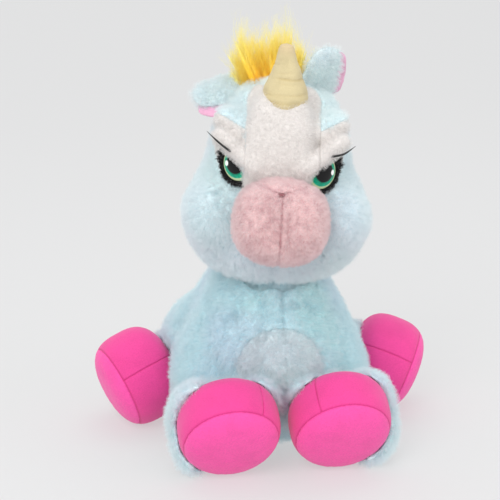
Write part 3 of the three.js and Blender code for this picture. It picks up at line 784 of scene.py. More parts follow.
def torso(points):
    x, y, z = coordinates(points)
    height = np.linspace(0, 140, 141)
    half, chest, back = (
        spline(TORSO_RINGS[:, column], TORSO_RINGS[:, 0], height) for column in (1, 2, 3)
    )
    half, chest, back = (np.interp(z, height, curve).astype(np.float32) for curve in (half, chest, back))
    fore = y < TORSO_MIDDLE
    reach = np.where(fore, TORSO_MIDDLE - chest, back - TORSO_MIDDLE)
    squareness = np.where(fore, 2.05, 3.0)
    across = np.abs(x / half) ** squareness
    size = (across + np.abs((y - TORSO_MIDDLE) / reach) ** squareness) ** (1 / squareness)
    body = (size - 1) * np.minimum(half, 55)
    body = keep(body, z - 140, 8)
    belly = ellipsoid(points, (0, -16, 66), (31, 34, 30))
    body = join(body, belly, 14)
    for sign in SIDES.values():
        flank = [mirrored(place, sign) for place in ((46, 26, 112), (57, 30, 88), (66, 30, 66), (68, 32, 50))]
        body = body + crease(points, flank, 7, 3.6)
        haunch = ellipsoid(points, ((34 if sign > 0 else -40), 54, 50), (27, 33, 38), 2.3)
        body = join(body, haunch, 12)
    return body


def sleeve(points, end):
    """A leg's stuffed sleeve in its own axes: it widens to a puffed cuff. The sag at a front sleeve's outer
    side is added where the sleeves are made.
    """
    leg = LEGS[end]
    cuff = leg["long"] - HOOF_LONG
    x, y, z = coordinates(points)
    places = np.array([-22, -8, 4, 16, cuff - 8, cuff, cuff + 8], float)
    wide = leg["sleeve"]
    radii = np.array(leg["root"] + [wide - 1.5, wide, wide - 5], float)
    radius = spline(radii, places, z.astype(float)).astype(np.float32)
    body = np.hypot(x, y) - radius
    return keep(body, np.abs(z - (cuff - 20) / 2) - (cuff + 26) / 2, 9)


def hoof(points, end):
    leg = LEGS[end]
    x, y, z = coordinates(points)
    across = np.hypot(x / leg["hoof"], y / (leg["hoof"] * leg["tall"]))
    half_long = leg["reach"]
    up = np.abs(z - (leg["long"] - half_long + 1.5)) / half_long
    return ((across ** 2.9 + up ** 2.9) ** (1 / 2.9) - 1) * 24


def make_torso_and_sleeves():
    room = Room((-122, -104, -3), (130, 100, 146), 1.4)
    points = room.points
    x, y, z = coordinates(points)
    body = room.even(torso(points))
    whole = body
    arms = {}
    hooves = np.full(body.shape, 1e3, np.float32)
    for end in LEGS:
        for side, sign in SIDES.items():
            local = room.seen_from(leg_axes(end, side))
            arm = sleeve(local, end)
            if end == "front":
                sag = ellipsoid(points, (sign * 50, -46.5, 25), (25.5, 20, 26))
                arm = join(arm, sag, 10)
                arm = keep(arm, 0.5 - sign * x, 3)
                arm = keep(arm, (z - 72.5 + 0.36 * (y + 63)) * 0.94, 8)
            arms[end, side] = arm
            whole = join(whole, arm, 6 if end == "hind" else 4)
            hooves = np.minimum(hooves, hoof(local, end))
    hooves_inside = hooves + SHELL
    whole = whole + crease(points, [(-64, -24, 68), (-50, -42, 63), (-34, -50, 60)], 4, 4.5)
    whole = whole + crease(points, [(56, -34, 66), (38, -49, 60)], 4, 3)
    whole = whole + crease(points, [(0, -30, 118), (0, -42, 98)], 3.0, 1.6)
    whole = room.even(whole) + FUR_INSET
    whole = keep(whole, 0.6 - z, 4)
    skull_clear = room_for_head(room)
    neck = nearest_on(points, NECK_PIVOT, NECK_PIVOT + [0, 0, 1])[0]
    whole = keep(whole, NECK_BALL + 1.6 - neck, 1.5)
    whole = keep(whole, -skull_clear, 2)
    arm_cover = np.minimum.reduce(list(arms.values()))
    of_torso = (body - arm_cover) / 1.6
    whole = keep(whole, 1.0 - room_for_hooves(room) - 1.5 * np.maximum(of_torso, 0), 3)
    inner = -(whole + SHELL)
    skin = whole + pile(points, 6.0, 1.0, 31)
    skin = np.maximum(skin, 0.4 - z)
    shell = np.maximum(skin, inner)
    patch = np.hypot((x + 2.5) / 27.5, (z - 68) / np.where(z > 68, 26.5, 29)) - 1
    patch = np.maximum(patch * 27, y + 10)
    seat = np.maximum(z - 2.2, 4 - whole - 8)
    fluffy = whole + pile(points, 4.2, 1.3, 33)
    fluffy = np.maximum(np.maximum(fluffy, 0.4 - z), inner)
    panels = {}
    for side, sign in SIDES.items():
        half = -sign * x
        panels[f"chest_patch_{side}"] = (np.maximum(np.maximum(patch, half), of_torso), fluffy)
        rest = np.maximum(np.maximum(-patch, half), of_torso)
        panels[f"body_fur_{side}"] = (np.maximum(rest, -seat), shell)
    panels["seat_panel"] = (np.maximum(seat, of_torso), shell)
    pieces = {}
    for node, (region, skin_of) in panels.items():
        field = keep(skin_of, region - TOUCH, FUR_SEAM)
        dye_and_shade = belly_dye_and_shade if node.startswith("chest") else blue_dye_and_shade
        pieces[node] = soft_piece(room, field, whole, region, node, "root", "blue_fur", dye_and_shade)
    filled = whole + SHELL + GAP
    bag = block_field(points, (-38, -10, 3), (38, 56, 26), 8)
    inside = keep(keep(filled, of_torso + 0.5, 2), 0.8 - bag, 2)
    stuffing(room, inside, "torso_stuffing", "root")
    stuffing(room, keep(bag, filled, 2), "bean_bag", "root")
    for (end, side), arm in arms.items():
        others = [other for key, other in arms.items() if key != (end, side)]
        region = np.maximum(-of_torso, (arm - np.minimum.reduce(others)) / 2)
        field = keep(np.maximum(skin, -(whole + CUFF)), region - TOUCH, FUR_SEAM)
        field = keep(field, 0.3 - hooves, 2.5)
        matrix = leg_axes(end, side)
        if end == "front":
            start, stop = (LIFT_FOLD[0] * SIDES[side], -38, 62), (LIFT_FOLD[0] * SIDES[side], -62, 46)
        else:
            start, stop = matrix @ Vector((0, 0, 12)), matrix @ Vector((0, 0, 34))
        node = f"leg_{end}_{side}_sleeve"
        ties = ("root", f"leg_{end}_{side}", start, stop)
        # Painted light: the sleeves' blue pile is made paler than the same blue pile on the torso.
        pieces[node] = soft_piece(room, field, whole, region, node, ties, "blue_fur", paler(blue_dye_and_shade, 0.2))
        filling = keep(np.minimum(whole + CUFF + GAP, hooves_inside), region + 0.5, 1.5)
        stuffing(room, filling, f"leg_{end}_{side}_stuffing", ties)
    return pieces


def belly_dye_and_shade(points, height, seam):
    colour = paler(blue_dye_and_shade, 0.5, 0.86)(points, height, seam)
    # Painted shade and a painted pink reflection towards the bottom of the patch.
    low = smoothstep(-points[:, 2], -62, -46)
    return mixed(colour, LILAC_SHADE_AND_REFLECTION, low * 0.5)


def moved_by(joint_name, degrees):
    """How a joint moves its body, in the toy's axes, when it turns by that angle."""
    joint = JOINTS[joint_name]
    there = Matrix.Translation((np.array(joint["pos_m"]) - GROUND) / MM)
    return there @ Matrix.Rotation(math.radians(degrees), 4, Vector(joint["axis"])) @ there.inverted()


def room_for_hooves(room):
    """Where the hind hooves pass as they swing."""
    field = np.full(room.points.shape[:-1], 1e3, np.float32)
    for side, sign in SIDES.items():
        joint_name = f"leg_hind_{side}_swing"
        limit = JOINTS[joint_name]["range_deg"][1]
        for share in (-1.0, -0.5, 0.5, 1.0):
            swung = moved_by(joint_name, -sign * limit * share) @ leg_axes("hind", side)
            field = np.minimum(field, hoof(room.seen_from(swung), "hind"))
    return field


def room_for_head(room, low=96.0):
    """Where the underside of the head passes as it turns on the neck; below low it is far away."""
    field = np.full(room.points.shape[:-1], 30.0, np.float32)
    above = room.points[0, 0, :, 2] > low
    nods = (0, JOINTS["neck_nod"]["range_deg"][0])
    for nod, angle in itertools.product(nods, (-20, 0, 20, 40)):
        turned = moved_by("neck_nod", nod) @ moved_by("head_turn", angle) @ HEAD
        points = moved(room.points[:, :, above], turned.inverted())
        field[:, :, above] = np.minimum(field[:, :, above], skull(points) - 0.9)
    return field


def make_hooves():
    pieces = {}
    for end, leg in LEGS.items():
        for side in SIDES:
            matrix = leg_axes(end, side)
            tall = leg["hoof"] * leg["tall"]
            low = (-leg["hoof"] - 3, -tall - 3, leg["long"] - 2 * leg["reach"] - 3)
            high = (leg["hoof"] + 3, tall + 3, leg["long"] + 5)
            room = Room(low, high, 0.95, matrix)
            points = room.points
            z = points[..., 2]
            roll = math.radians(SIDES[side] * leg["roll"])
            over = points[..., 1] * math.cos(roll) + points[..., 0] * math.sin(roll)
            ground = room.seen_from(Matrix.Identity(4))[..., 2]
            whole = room.even(hoof(points, end))
            whole = keep(whole, 0.5 - ground, 2)
            body = f"leg_{end}_{side}"
            sole_seam = leg["long"] - 8.0
            inner = -(whole + SHELL * 0.7)
            smooth_skin = whole + pile(points, 4.0, 0.08, 41)
            nubby_skin = whole + pile(points, 1.9, 0.16, 43)
            regions = {
                "upper": (np.maximum(z - sole_seam, -over), smooth_skin, "hoof_fleece", fleece_dye_and_seam_shade),
                "lower": (np.maximum(z - sole_seam, over), smooth_skin, "hoof_fleece", fleece_dye_and_seam_shade),
                "sole": (sole_seam - z, nubby_skin, "sole_fleece", sole_dye_and_seam_shade),
            }
            for part, (region, skin, slot, dye_and_shade) in regions.items():
                node = f"hoof_{end}_{side}_{part}"
                field = keep(np.maximum(skin, inner), region - TOUCH, HOOF_SEAM)
                pieces[node] = soft_piece(room, field, whole, region, node, body, slot, dye_and_shade)
    return pieces


# ---------------------------------------------------------------- neck, ears
def make_neck():
    """The short furry neck that shows between the chin and the chest."""
    room = Room((-42, -46, 88), (42, 38, 168), 1.4)
    points = room.points
    ball = nearest_on(points, NECK_PIVOT, NECK_PIVOT + [0, 0, 1])[0] - NECK_BALL
    skin = ball + pile(points, 5.0, 0.7, 51)
    outside = np.full(ball.shape, -1e3, np.float32)
    return {"neck": soft_piece(room, skin, ball, outside, "neck", "neck", "blue_fur", blue_dye_and_shade,
                               stands_for="neck_stuffing")}


EARS = {  # where each is sewn on, how far it leans outward, and how its back is turned
    "left": {"place": (22.5, 4, 55), "outward": 13, "twist": 36, "peek": 11},
    "right": {"place": (-25, 3, 61), "outward": 107, "twist": -50, "peek": -9},
}
EAR = {"long": 34, "half": 16.5, "thick": 6, "cup": 0.016}


def ear_axes(side):
    ear, sign = EARS[side], SIDES[side]
    spot = Matrix.Translation(ear["place"])
    return HEAD @ spot @ turn("Y", sign * ear["outward"]) @ turn("Z", sign * ear["twist"])


def leaf(points, half, long, thick, lift):
    """A cupped leaf: X across, Z along, and the cup opens to +Y."""
    x, y, z = coordinates(points)
    along = np.clip(z / long, 0, 1)
    across = np.abs(x / (half * (1.04 - 0.42 * along)))
    up = np.abs((z - long / 2) / (long / 2))
    deep = np.abs((y - EAR["cup"] * x * x - lift) / (thick / 2))
    size = ((across ** 2.5 + up ** 2.5) ** (2 / 2.5) + deep ** 2) ** 0.5
    return (size - 1) * thick / 2


def make_ears():
    pieces = {}
    for side in SIDES:
        room = Room((-22, -8, -5), (22, 16, 43), 0.9, ear_axes(side))
        points = room.points
        back = room.even(leaf(points, EAR["half"], EAR["long"], EAR["thick"], 0))
        back = back + crease(points, [(0, -4, 4), (1, -4, 26)], 3, 1.2)
        within = points - np.array((EARS[side]["peek"], 0, 4.5), np.float32)
        lining = room.even(leaf(within, EAR["half"] * 0.74, EAR["long"] * 0.82, 3.4, 3.4))
        foot, bend = (ear_axes(side) @ Vector((0, 0, height)) for height in (1, 9))
        ties = ("head", f"ear_{side}", foot, bend)
        back = keep(back + pile(points, 4.5, 0.5, 53), 0.1 - lining, 1.2)
        skin = lining + pile(points, 2.4, 0.15, 55)
        for part, field, slot, dye_and_shade in (
            # Painted light: the ear's back is paler than the head's blue pile, for light shining through the
            # thin ear.
            ("back", back, "blue_fur", paler(blue_dye_and_shade, 0.5, 0.87)),
            ("lining", skin, "ear_pink", ear_dye),
        ):
            node = f"ear_{side}_{part}"
            outside = np.full(field.shape, -1e3, np.float32)
            # The cup's front side reads as a low place here, so it also gets painted shade.
            behind = EAR["cup"] * points[..., 0] ** 2 - points[..., 1]
            pieces[node] = soft_piece(room, field, behind, outside, node, ties, slot, dye_and_shade)
    return pieces


# ---------------------------------------------------------------- eyes
IRIS_RINGS = (  # how far out each ring starts, and its colour
    (0.0, (0.02, 0.02, 0.025)), (6.2, (0.02, 0.02, 0.025)), (6.6, (0.02, 0.42, 0.32)),
    (7.4, (0.03, 0.60, 0.46)), (9.0, (0.05, 0.66, 0.52)), (9.3, (0.60, 0.78, 0.60)),
    (9.7, (0.84, 0.90, 0.72)), (10.9, (0.78, 0.84, 0.66)), (11.2, (0.03, 0.03, 0.03)),
)
BLACK = np.array([0.055, 0.05, 0.055])


def closed_rings(rings, foot, top):
    """Points and faces of a closed shape from rings of points and the middles of its two ends."""
    around = len(rings[0])
    points = np.concatenate(list(rings) + [[foot], [top]])
    foot_at, top_at = len(points) - 2, len(points) - 1
    last = (len(rings) - 1) * around
    faces = []
    for ring in range(len(rings) - 1):
        for step in range(around):
            a, b = ring * around + step, ring * around + (step + 1) % around
            faces.append((a, b, b + around, a + around))
    for step in range(around):
        after = (step + 1) % around
        faces.append((foot_at, after, step))
        faces.append((top_at, last + step, last + after))
    return points, faces


def lathe(profile, around):
    """Points and faces of a closed turned shape from (radius, height) pairs, foot to top."""
    angles = np.linspace(0, 2 * math.pi, around, endpoint=False)
    rings = [
        np.stack([radius * np.cos(angles), radius * np.sin(angles), np.full(around, height)], axis=1)
        for radius, height in profile
    ]
    return closed_rings(rings, (0, 0, profile[0][1]), (0, 0, profile[-1][1]))


def placed(matrix, points):
    rotation, origin = axes_of(matrix)
    return metres(np.asarray(points) @ rotation.T + origin)


def make_eyes():
    bulge = (EYE["radius"] ** 2 + EYE["crown"] ** 2) / (2 * EYE["crown"])
    radii = np.linspace(EYE["radius"], 0.15, 70)
    domed = [(r, math.sqrt(bulge ** 2 - r ** 2) - bulge + EYE["crown"]) for r in radii]
    profile = [(EYE["radius"] - 0.4, -0.3), (EYE["radius"], -0.1)] + domed
    points, faces = lathe(profile, 96)
    reach = np.hypot(points[:, 0], points[:, 1])
    edges = [edge for edge, _ in IRIS_RINGS]
    rings = np.array([colour for _, colour in IRIS_RINGS])
    for side, sign in SIDES.items():
        matrix = HEAD @ eye_axes(sign)
        colours = np.stack([np.interp(reach, edges, rings[:, part]) for part in range(3)], axis=1)
        streaks = noise(points.astype(np.float32) * np.array((1, 1, 0), np.float32), 0.8, 61)[:, None]
        colours = np.where(((reach > 6.4) & (reach < 9.2))[:, None], colours * (1 + 0.12 * streaks), colours)
        glint = np.hypot(points[:, 0] - sign * 6.6, points[:, 1] + 0.4)
        share = 1 - smoothstep(glint, 1.6, 1.9)
        colours = mixed(colours, GLINT, share)
        eye = mesh_object(f"eye_{side}_gloss", placed(matrix, points), faces, colours)
        dress(eye, f"eye_{side}", "head", "eye_gloss")
        make_felt(side, sign, matrix)
        make_lash(side, sign)


FELT_OUTLINE = (  # radius and height of the ring's cross section
    (9.5, -1.6), (13.2, -1.5), (14.0, -0.6), (13.6, 0.5), (12.4, 0.9), (11.7, 0.4), (11.4, -0.4), (9.5, -0.6),
)


def make_felt(side, sign, matrix):
    """A ring of black plush round the eye, with a feathered edge."""
    chance = np.random.default_rng(70 + sign)
    points, faces = lathe(FELT_OUTLINE, 72)
    ragged = 1 + 0.035 * chance.standard_normal(len(points))
    points = points * np.stack([ragged, ragged, np.ones(len(points))], axis=1)
    parts = [(points, faces)]
    for angle in chance.uniform(0, 2 * math.pi, 420):
        outer = sign * math.cos(angle)  # 1 at the outer side of the eye
        upper = math.sin(angle)
        wing = max(0.0, outer * 0.94 + upper * 0.34) ** 24
        long = chance.uniform(0.8, 1.9) + 4.5 * wing * chance.uniform(0.3, 1)
        lean = chance.uniform(-0.35, 0.35)
        root = np.array([13.2 * math.cos(angle), 13.2 * math.sin(angle), chance.uniform(-0.8, 0.4)])
        way = np.array([math.cos(angle + lean), math.sin(angle + lean), chance.uniform(0.0, 0.5)])
        parts.append(tapered([root, root + way * long * 0.5, root + way * long], [0.5, 0.36, 0.05], 5))
    points, faces = merged(parts)
    colours = plain(BLACK, points)
    felt = mesh_object(f"eye_felt_{side}_plush", placed(matrix, points), faces, colours)
    dress(felt, f"eye_felt_{side}", "head", "black_felt")
    weigh(felt, "shown", np.ones(len(points)))
    weigh(felt, "long", np.ones(len(points)))
    grow_fibres(felt, 700, 0.0014, seed=8, children=10)


def tapered(route, radii, around):
    """Points and faces of a closed rod along a route, thinner or thicker from place to place."""
    route = np.asarray(route, float)
    ways = np.gradient(route, axis=0)
    ways /= np.linalg.norm(ways, axis=1)[:, None]
    side = np.cross(ways[0], (0.31, 0.52, 0.80))
    rings = []
    angles = np.linspace(0, 2 * math.pi, around, endpoint=False)
    for place, way, radius in zip(route, ways, radii):
        side = side - way * (side @ way)
        side /= np.linalg.norm(side)
        up = np.cross(way, side)
        ring = place + radius * (np.outer(np.cos(angles), side) + np.outer(np.sin(angles), up))
        rings.append(ring)
    return closed_rings(rings, route[0], route[-1])


def merged(parts):
    """Several (points, faces) shapes as one."""
    points, faces, count = [], [], 0
    for some_points, some_faces in parts:
        points.append(some_points)
        faces.extend(tuple(corner + count for corner in face) for face in some_faces)
        count += len(some_points)
    return np.concatenate(points), faces


def curve_through(places, steps):
    """A smooth route through a few places."""
    places = np.asarray(places, float)
    at = np.linspace(0, len(places) - 1, steps)
    spots = np.arange(len(places), dtype=float)
    return np.stack([spline(places[:, axis], spots, at) for axis in range(3)], axis=1)


LASHES = {
    "left": [(29, -47, 21), (32.5, -50.5, 22.3), (39, -53, 24.5), (45.5, -53, 29.5)],
    "right": [(-28, -47, 20.5), (-32, -50.5, 22.8), (-39, -53, 28), (-46, -53, 34)],
}


def make_lash(side, sign):
    route = curve_through(LASHES[side], 24)
    radii = np.interp(np.linspace(0, 1, 24), (0, 0.15, 0.7, 1), (0.5, 0.8, 0.6, 0.12))
    points, faces = tapered(route, radii, 10)
    colours = plain(BLACK * 0.8, points)
    lash = mesh_object(f"eyelash_{side}_curved", placed(HEAD, points), faces, colours)
    dress(lash, f"eyelash_{side}", "head", "black_plastic")


# ---------------------------------------------------------------- horn
HORN = {"place": (0, -33, 44), "lean": 12, "high": 46.5}
HORN_OUTLINE = (  # height, radius, of the stuffed cone
    (0, 14.8), (10, 14.8), (14, 14.5), (18, 13.6), (22, 12.0), (26, 10.3), (31, 8.7),
    (36, 6.8), (41, 5.5), (44, 4.5), (45.8, 2.9), (46.5, 0.6),
)


def horn_axes():
    return HEAD @ Matrix.Translation(HORN["place"]) @ turn("X", HORN["lean"])


def make_horn():
    """A slim cloth cone with a wide foot and fine folds across it."""
    chance = np.random.default_rng(81)
    heights = np.linspace(0, HORN["high"], 150)
    outline = np.array(HORN_OUTLINE, float)
    radii = spline(outline[:, 1], outline[:, 0], heights).clip(0.3)
    around = 96
    points, faces = lathe(list(zip(radii, heights)), around)
    angles = np.arctan2(points[:, 1], points[:, 0])
    folds = np.zeros(len(points))
    for _ in range(22):
        height, middle = chance.uniform(12, 45), chance.uniform(-math.pi, math.pi)
        tilt, wide = chance.uniform(-1.2, 1.2), chance.uniform(0.5, 1.3)
        way = np.angle(np.exp(1j * (angles - middle)))
        line = (points[:, 2] - height - tilt * way) / 0.75
        folds -= chance.uniform(0.12, 0.34) * np.exp(-line ** 2) * np.exp(-((way / wide) ** 2))
    folds += 0.25 * noise(points.astype(np.float32), 5.0, 82)
    folds -= 0.3 * np.exp(-((points[:, 2] - 11.5) / 0.8) ** 2)
    reach = np.hypot(points[:, 0], points[:, 1])
    share = 1 + folds / np.maximum(reach, 3)
    points[:, 0] *= share
    points[:, 1] *= share
    points[:, 0] += 1.1 * np.sin(points[:, 2] / HORN["high"] * math.pi)
    dyed = points.astype(np.float32)
    # The folds also get painted shade here.
    colours = horn_dye_and_shade(dyed, folds, np.full(len(points), -9.0))
    # Painted shade at the foot, where the horn meets the head.
    foot = 1 - smoothstep(points[:, 2], 10.5, 15)
    colours = mixed(colours, CREAM_SHADE, foot * 0.15)
    tip = smoothstep(points[:, 2], 37, 47)
    colours = mixed(colours, HORN_TIP, tip * 0.5)
    horn = mesh_object("horn_cloth_cone", placed(horn_axes(), points), faces, colours)
    dress(horn, "horn_cover", "head", "horn_cloth")
    inner = [
        (radius - 1.6, min(height, HORN["high"] - 3))
        for radius, height in zip(radii, heights) if radius > 3.4
    ]
    points, faces = lathe(inner[::4], 32)
    colours = plain(FLUFF, points)
    fluff = mesh_object("horn_stuffing_fluff", placed(horn_axes(), points), faces, colours)
    dress(fluff, "horn_stuffing", "head", "stuffing")


# ---------------------------------------------------------------- mane, crest and tail
MANE_COLOURS = ((0, ORANGE), (0.25, (1.0, 0.82, 0.24)), (0.5, YELLOW), (1, PALE_YELLOW))


def mane_dye(share, tint):
    """Orange at the root, yellow on the way and pale at the tip."""
    at = [place for place, _ in MANE_COLOURS]
    steps = np.array([colour for _, colour in MANE_COLOURS])
    place = np.clip(share + tint, 0, 1)
    return np.stack([np.interp(place, at, steps[:, part]) for part in range(3)], axis=1)


def make_lock(chance, root, way, long, wide, bend):
    """One tapered lock of pile: its points, faces and how far along it each point is."""
    steps = 12
    along = np.linspace(0, 1, steps)
    root, way, bend = (np.asarray(part, float) for part in (root, way, bend))
    way = way / np.linalg.norm(way)
    route = root + np.outer(along, way) * long + np.outer(along ** 2, bend) * long
    route += chance.normal(0, 0.02 * long, (1, 3)) * (along[:, None] ** 1.5)
    radii = wide * np.interp(along, (0, 0.25, 0.6, 0.85, 1), (0.75, 1, 0.72, 0.36, 0.05))
    points, faces = tapered(route, radii, 9)
    share = np.concatenate([np.repeat(along, 9), [0, 1]])
    return points, faces, share


def lock_bundle(name, locks, matrix, node, ties, tint):
    """Many locks as one piece."""
    points, faces = merged([(some_points, some_faces) for some_points, some_faces, _ in locks])
    share = np.concatenate([lock[2] for lock in locks])
    flat = noise(points.astype(np.float32), 6.0, 91)
    streaks = noise((points * np.array((2.2, 2.2, 0.5))).astype(np.float32), 2.0, 92)
    colours = mane_dye(share, tint + 0.12 * flat) * (1 + 0.05 * streaks[:, None])
    piece = mesh_object(name, placed(matrix, points), faces, colours)
    weigh(piece, "shown", np.ones(len(share)))
    weigh(piece, "long", 0.4 + 0.6 * share)
    return dress(piece, node, ties, "mane_fur")


FORELOCK_ROOT = np.array([-3.0, 3.0, 56.0])
MANE_TUFTS = (  # each tuft's lean to the toy's left, its length, and how far back it leans
    (-72, 31, 2), (-56, 38, 6), (-40, 43, 0), (-24, 37, 8),
    (-6, 36, 2), (8, 39, 6), (26, 34, 0), (50, 27, 6),
)


def make_forelock():
    """Flame-like tufts of long pile behind the horn, fanned to both sides."""
    chance = np.random.default_rng(93)
    locks = []
    for lean, long, back in MANE_TUFTS:
        angle = math.radians(lean)
        tip = FORELOCK_ROOT + (0.55 * lean * 0.12, 0, 0) + long * np.array(
            [math.sin(angle), 0.02 * back + 0.05, math.cos(angle)]
        )
        for _ in range(26):
            spread = chance.uniform(-1, 1, 3)
            root = FORELOCK_ROOT + spread * (4.5, 5, 2.5) + (0.16 * lean, 0, -0.05 * abs(lean))
            target = tip + chance.normal(0, 1, 3) * (1.0, 1.2, 0.8)
            way = target - root
            reach = np.linalg.norm(way) * chance.uniform(0.6, 1.0)
            bend = np.array([-0.10 * math.sin(angle), 0.05, 0.08]) + chance.normal(0, 0.03, 3)
            locks.append(make_lock(chance, root, way, reach, chance.uniform(1.2, 2.2), bend))
    mane = lock_bundle("forelock_locks", locks, HEAD, "forelock", "head", 0.0)
    grow_fibres(
        mane, 1600, 0.008, droop=(-0.3, 0, 2.2), children=8, clump=0.6, seed=9, wisp=0.3, fibre=MANE_HAIR
    )


def make_crest():
    """Locks of the same pile down the back of the head."""
    chance = np.random.default_rng(95)
    locks = []
    for _ in range(150):
        height = chance.uniform(-32, 58)
        across = chance.uniform(-9, 9)
        deep = 55 * max(0.05, 1 - abs(height / 66) ** 2.6) ** (1 / 2.6)
        root = (across, deep - 3, height)
        slope = np.clip(height / 62, -0.4, 1)
        way = (across * 0.03, 0.75 - 0.35 * slope, -0.45 + 1.0 * max(0, slope))
        long = chance.uniform(14, 19)
        bend = np.array([0, -0.12, -0.38]) + chance.normal(0, 0.05, 3)
        locks.append(make_lock(chance, root, way, long, chance.uniform(1.8, 3.0), bend))
    crest = lock_bundle("mane_crest_locks", locks, HEAD, "mane_crest", "head", 0.05)
    grow_fibres(
        crest, 2200, 0.014, droop=(0, 0.2, -0.6), children=10, clump=0.5, seed=10, wisp=0.3, fibre=MANE_HAIR
    )


TAIL = {"root": (0, 90, 47), "droop": 24, "long": 56, "radius": 12}


def make_tail():
    chance = np.random.default_rng(97)
    droop = math.radians(TAIL["droop"])
    way = np.array([0, math.cos(droop), -math.sin(droop)])
    over = np.array([0, math.sin(droop), math.cos(droop)])
    across = np.array([1.0, 0, 0])
    locks = []
    for _ in range(130):
        angle = chance.uniform(0, 2 * math.pi)
        spread = math.sqrt(chance.uniform(0, 1))
        out = math.cos(angle) * across + math.sin(angle) * over
        start = chance.uniform(0, 0.45)
        root = np.array(TAIL["root"]) + way * (2 + start * 26) + out * spread * 5
        lean = way + out * spread * 0.42
        long = (TAIL["long"] - 4 - start * 26) * chance.uniform(0.72, 0.98)
        bend = -out * spread * 0.20 + np.array([0, 0, -0.06]) + chance.normal(0, 0.03, 3)
        locks.append(make_lock(chance, root, lean, long, chance.uniform(1.8, 3.2), bend))
    start = np.array(TAIL["root"]) + way * 1
    ties = ("root", "tail", start, start + way * 8)
    tail = lock_bundle("tail_locks", locks, Matrix.Identity(4), "tail", ties, -0.05)
    grow_fibres(
        tail, 2400, 0.014, droop=(0, 0.8, -0.3), children=10, clump=0.5, seed=11, wisp=0.3, fibre=MANE_HAIR
    )


# ---------------------------------------------------------------- stitches and label
def on_skin(shape, start, way, far=40.0):
    """The first place along a way from outside where a shape's surface is met."""
    reach = np.linspace(0, far, 900, dtype=np.float32)
    points = np.array(start, np.float32) + np.outer(reach, np.array(way, np.float32))
    inside = np.nonzero(shape(points) < 0)[0]
    return points[inside[0]] if len(inside) else points[-1]


def make_face_stitches():
    middle = MUZZLE_MIDDLE
    backward = (0, 1, 0)
    bars = []
    for step in range(9):
        across = middle - 0.6 + (step - 4) * 0.40
        high = 1.25 * math.sqrt(1 - ((step - 4) / 5.5) ** 2)
        low, top = (on_skin(muzzle, (across, -100, height), backward) for height in (-high, high))
        route = curve_through([low + (0, 0.8, 0), (low + top) / 2 + (0, -0.75, 0), top + (0, 0.8, 0)], 9)
        bars.append(tapered(route, np.full(9, 0.34), 7))
    points, faces = merged(bars)
    colours = plain(NOSE_THREAD, points)
    nose = mesh_object("nose_stitch_thread", placed(HEAD, points), faces, colours)
    dress(nose, "nose_stitch", "head", "thread")
    route = [
        on_skin(muzzle, (middle, -100, height), backward) + (0, 0.25, 0)
        for height in np.linspace(-3, -31, 26)
    ]
    strands = []
    for phase in (0, math.pi):
        twist = [
            place + 0.28 * np.array([math.cos(step * 0.9 + phase), 0, math.sin(step * 0.9 + phase)])
            for step, place in enumerate(route)
        ]
        strands.append(tapered(twist, np.full(len(twist), 0.26), 7))
    points, faces = merged(strands)
    colours = plain(MOUTH_THREAD, points)
    mouth = mesh_object("mouth_stitch_thread", placed(HEAD, points), faces, colours)
    dress(mouth, "mouth_stitch", "head", "thread")


LABEL = {"x": 30, "wide": 14, "long": 26, "z": 12}


def make_label():
    """A soft care label sewn in behind, with a slow wave in it."""
    whole, across = 26, 10
    start = LABEL["z"]
    rows = []
    for step in range(whole + 1):
        share = step / whole
        drop = -5.5 * share ** 1.6 + 0.8 * math.sin(share * 5)
        for side_step in range(across + 1):
            side = side_step / across - 0.5
            lift = 0.5 * math.sin(share * 6 + side * 3)
            across_at = LABEL["x"] + side * LABEL["wide"]
            rows.append((across_at, share * (LABEL["long"] - 1), start + drop + lift * share))
    rows = np.array(rows)
    back = on_skin(torso, (LABEL["x"], 120, start), (0, -1, 0))[1]
    rows[:, 1] += back - 3
    stride = across + 1
    faces = []
    for step in range(whole):
        for side_step in range(across):
            a = step * stride + side_step
            faces.append((a, a + 1, a + 1 + stride, a + stride))
    colours = plain(FLUFF, rows)
    label = mesh_object("care_label_cloth", metres(rows), faces, colours)
    thick = label.modifiers.new("cloth", "SOLIDIFY")
    thick.thickness = 0.0006
    dress(label, "care_label", "root", "label_cloth")


# ---------------------------------------------------------------- studio
def area_light(name, place, aim, size, power, colour=(1, 1, 1)):
    data = bpy.data.lights.new(name, "AREA")
    data.shape = "DISK"
    data.size = size
    data.energy = power
    data.color = colour
    lamp = bpy.data.objects.new(name, data)
    lamp.location = place
    lamp.rotation_euler = (Vector(aim) - Vector(place)).to_track_quat("-Z", "Y").to_euler()
    bpy.context.scene.collection.objects.link(lamp)


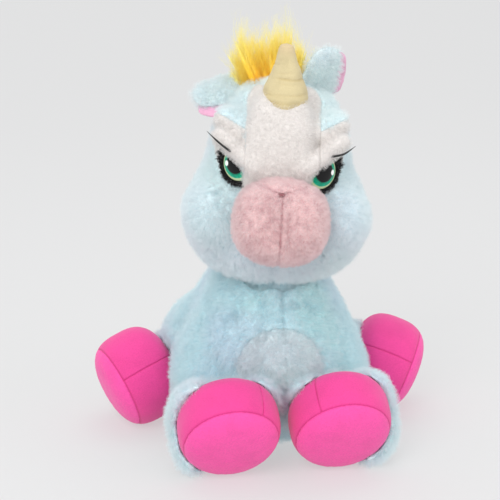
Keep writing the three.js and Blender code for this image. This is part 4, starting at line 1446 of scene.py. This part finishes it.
def make_studio():
    azimuth, elevation, away = math.radians(-10), math.radians(16), 1150
    aim = np.array([-18, -15, 142])
    towards = np.array([
        math.sin(azimuth) * math.cos(elevation),
        -math.cos(azimuth) * math.cos(elevation),
        math.sin(elevation),
    ])
    camera = bpy.data.objects.new("camera", bpy.data.cameras.new("camera"))
    camera.data.lens = 127.4
    camera.data.sensor_width = 36
    camera.location = metres(aim + towards * away)
    camera.rotation_euler = Vector(-towards).to_track_quat("-Z", "Y").to_euler()
    bpy.context.scene.collection.objects.link(camera)
    bpy.context.scene.camera = camera

    floor_mesh = bpy.data.meshes.new("floor")
    wide, ahead, bend_at, bend = 5.0, -4.0, 1.0, 1.4
    outline = [(ahead, 0.0)]
    for angle in np.linspace(0, 1.5, 24):
        outline.append((bend_at + bend * math.sin(angle), bend * (1 - math.cos(angle))))
    points = [(side * wide, y, z) for y, z in outline for side in (-1, 1)]
    faces = [(2 * i, 2 * i + 1, 2 * i + 3, 2 * i + 2) for i in range(len(outline) - 1)]
    floor_mesh.from_pydata(points, [], faces)
    floor_mesh.polygons.foreach_set("use_smooth", np.ones(len(faces), bool))
    floor = bpy.data.objects.new("floor", floor_mesh)
    bpy.context.scene.collection.objects.link(floor)
    paper = Nodes("paper")
    paper.set(Base_Color=(0.25, 0.25, 0.25, 1), Roughness=0.9)
    paper.set(Emission_Color=(1, 1, 1, 1), Emission_Strength=0.49)
    floor_mesh.materials.append(paper.material)

    world = bpy.data.worlds.new("studio")
    world.use_nodes = True
    background = world.node_tree.nodes["Background"]
    background.inputs["Color"].default_value = (0.97, 0.98, 1.0, 1)
    background.inputs["Strength"].default_value = 0.82
    bpy.context.scene.world = world
    bpy.context.scene.view_settings.view_transform = "Standard"
    middle = (0, 0, 0.14)
    area_light("key", (-0.7, -1.25, 1.05), middle, 1.0, 14.5)
    area_light("fill", (1.1, -1.0, 0.7), middle, 1.2, 4.6)
    area_light("top", (0.1, 0.3, 1.5), middle, 1.2, 4.4)


make_studio()
PIECES = {**make_head(), **make_torso_and_sleeves(), **make_hooves(), **make_neck(), **make_ears()}
make_eyes()
make_horn()
make_forelock()
make_crest()
make_tail()
make_face_stitches()
make_label()

FUR = (  # which panels, how long their fibres are, how many grow on each mm2, and how they clump
    (("head_fur", "body_fur"), 0.0042, 5.0, 0.75),
    (("ear_left_back", "ear_right_back", "neck"), 0.0036, 5.0, 0.7),
    (("chest_patch",), 0.0055, 4.5, 0.85),
    (("leg",), 0.0045, 5.0, 0.75),
    (("blaze", "eye_patch"), 0.0018, 6.0, 0.6),
    (("muzzle",), 0.0024, 6.0, 0.85),
)
CHILDREN = 12

for name, piece in PIECES.items():
    for starts, length, on_each_mm2, clump in FUR:
        if name.startswith(starts):
            count = round(FUR_AREAS[name] * on_each_mm2 / CHILDREN)
            grow_fibres(piece, count, length, children=CHILDREN, clump=clump, seed=3)
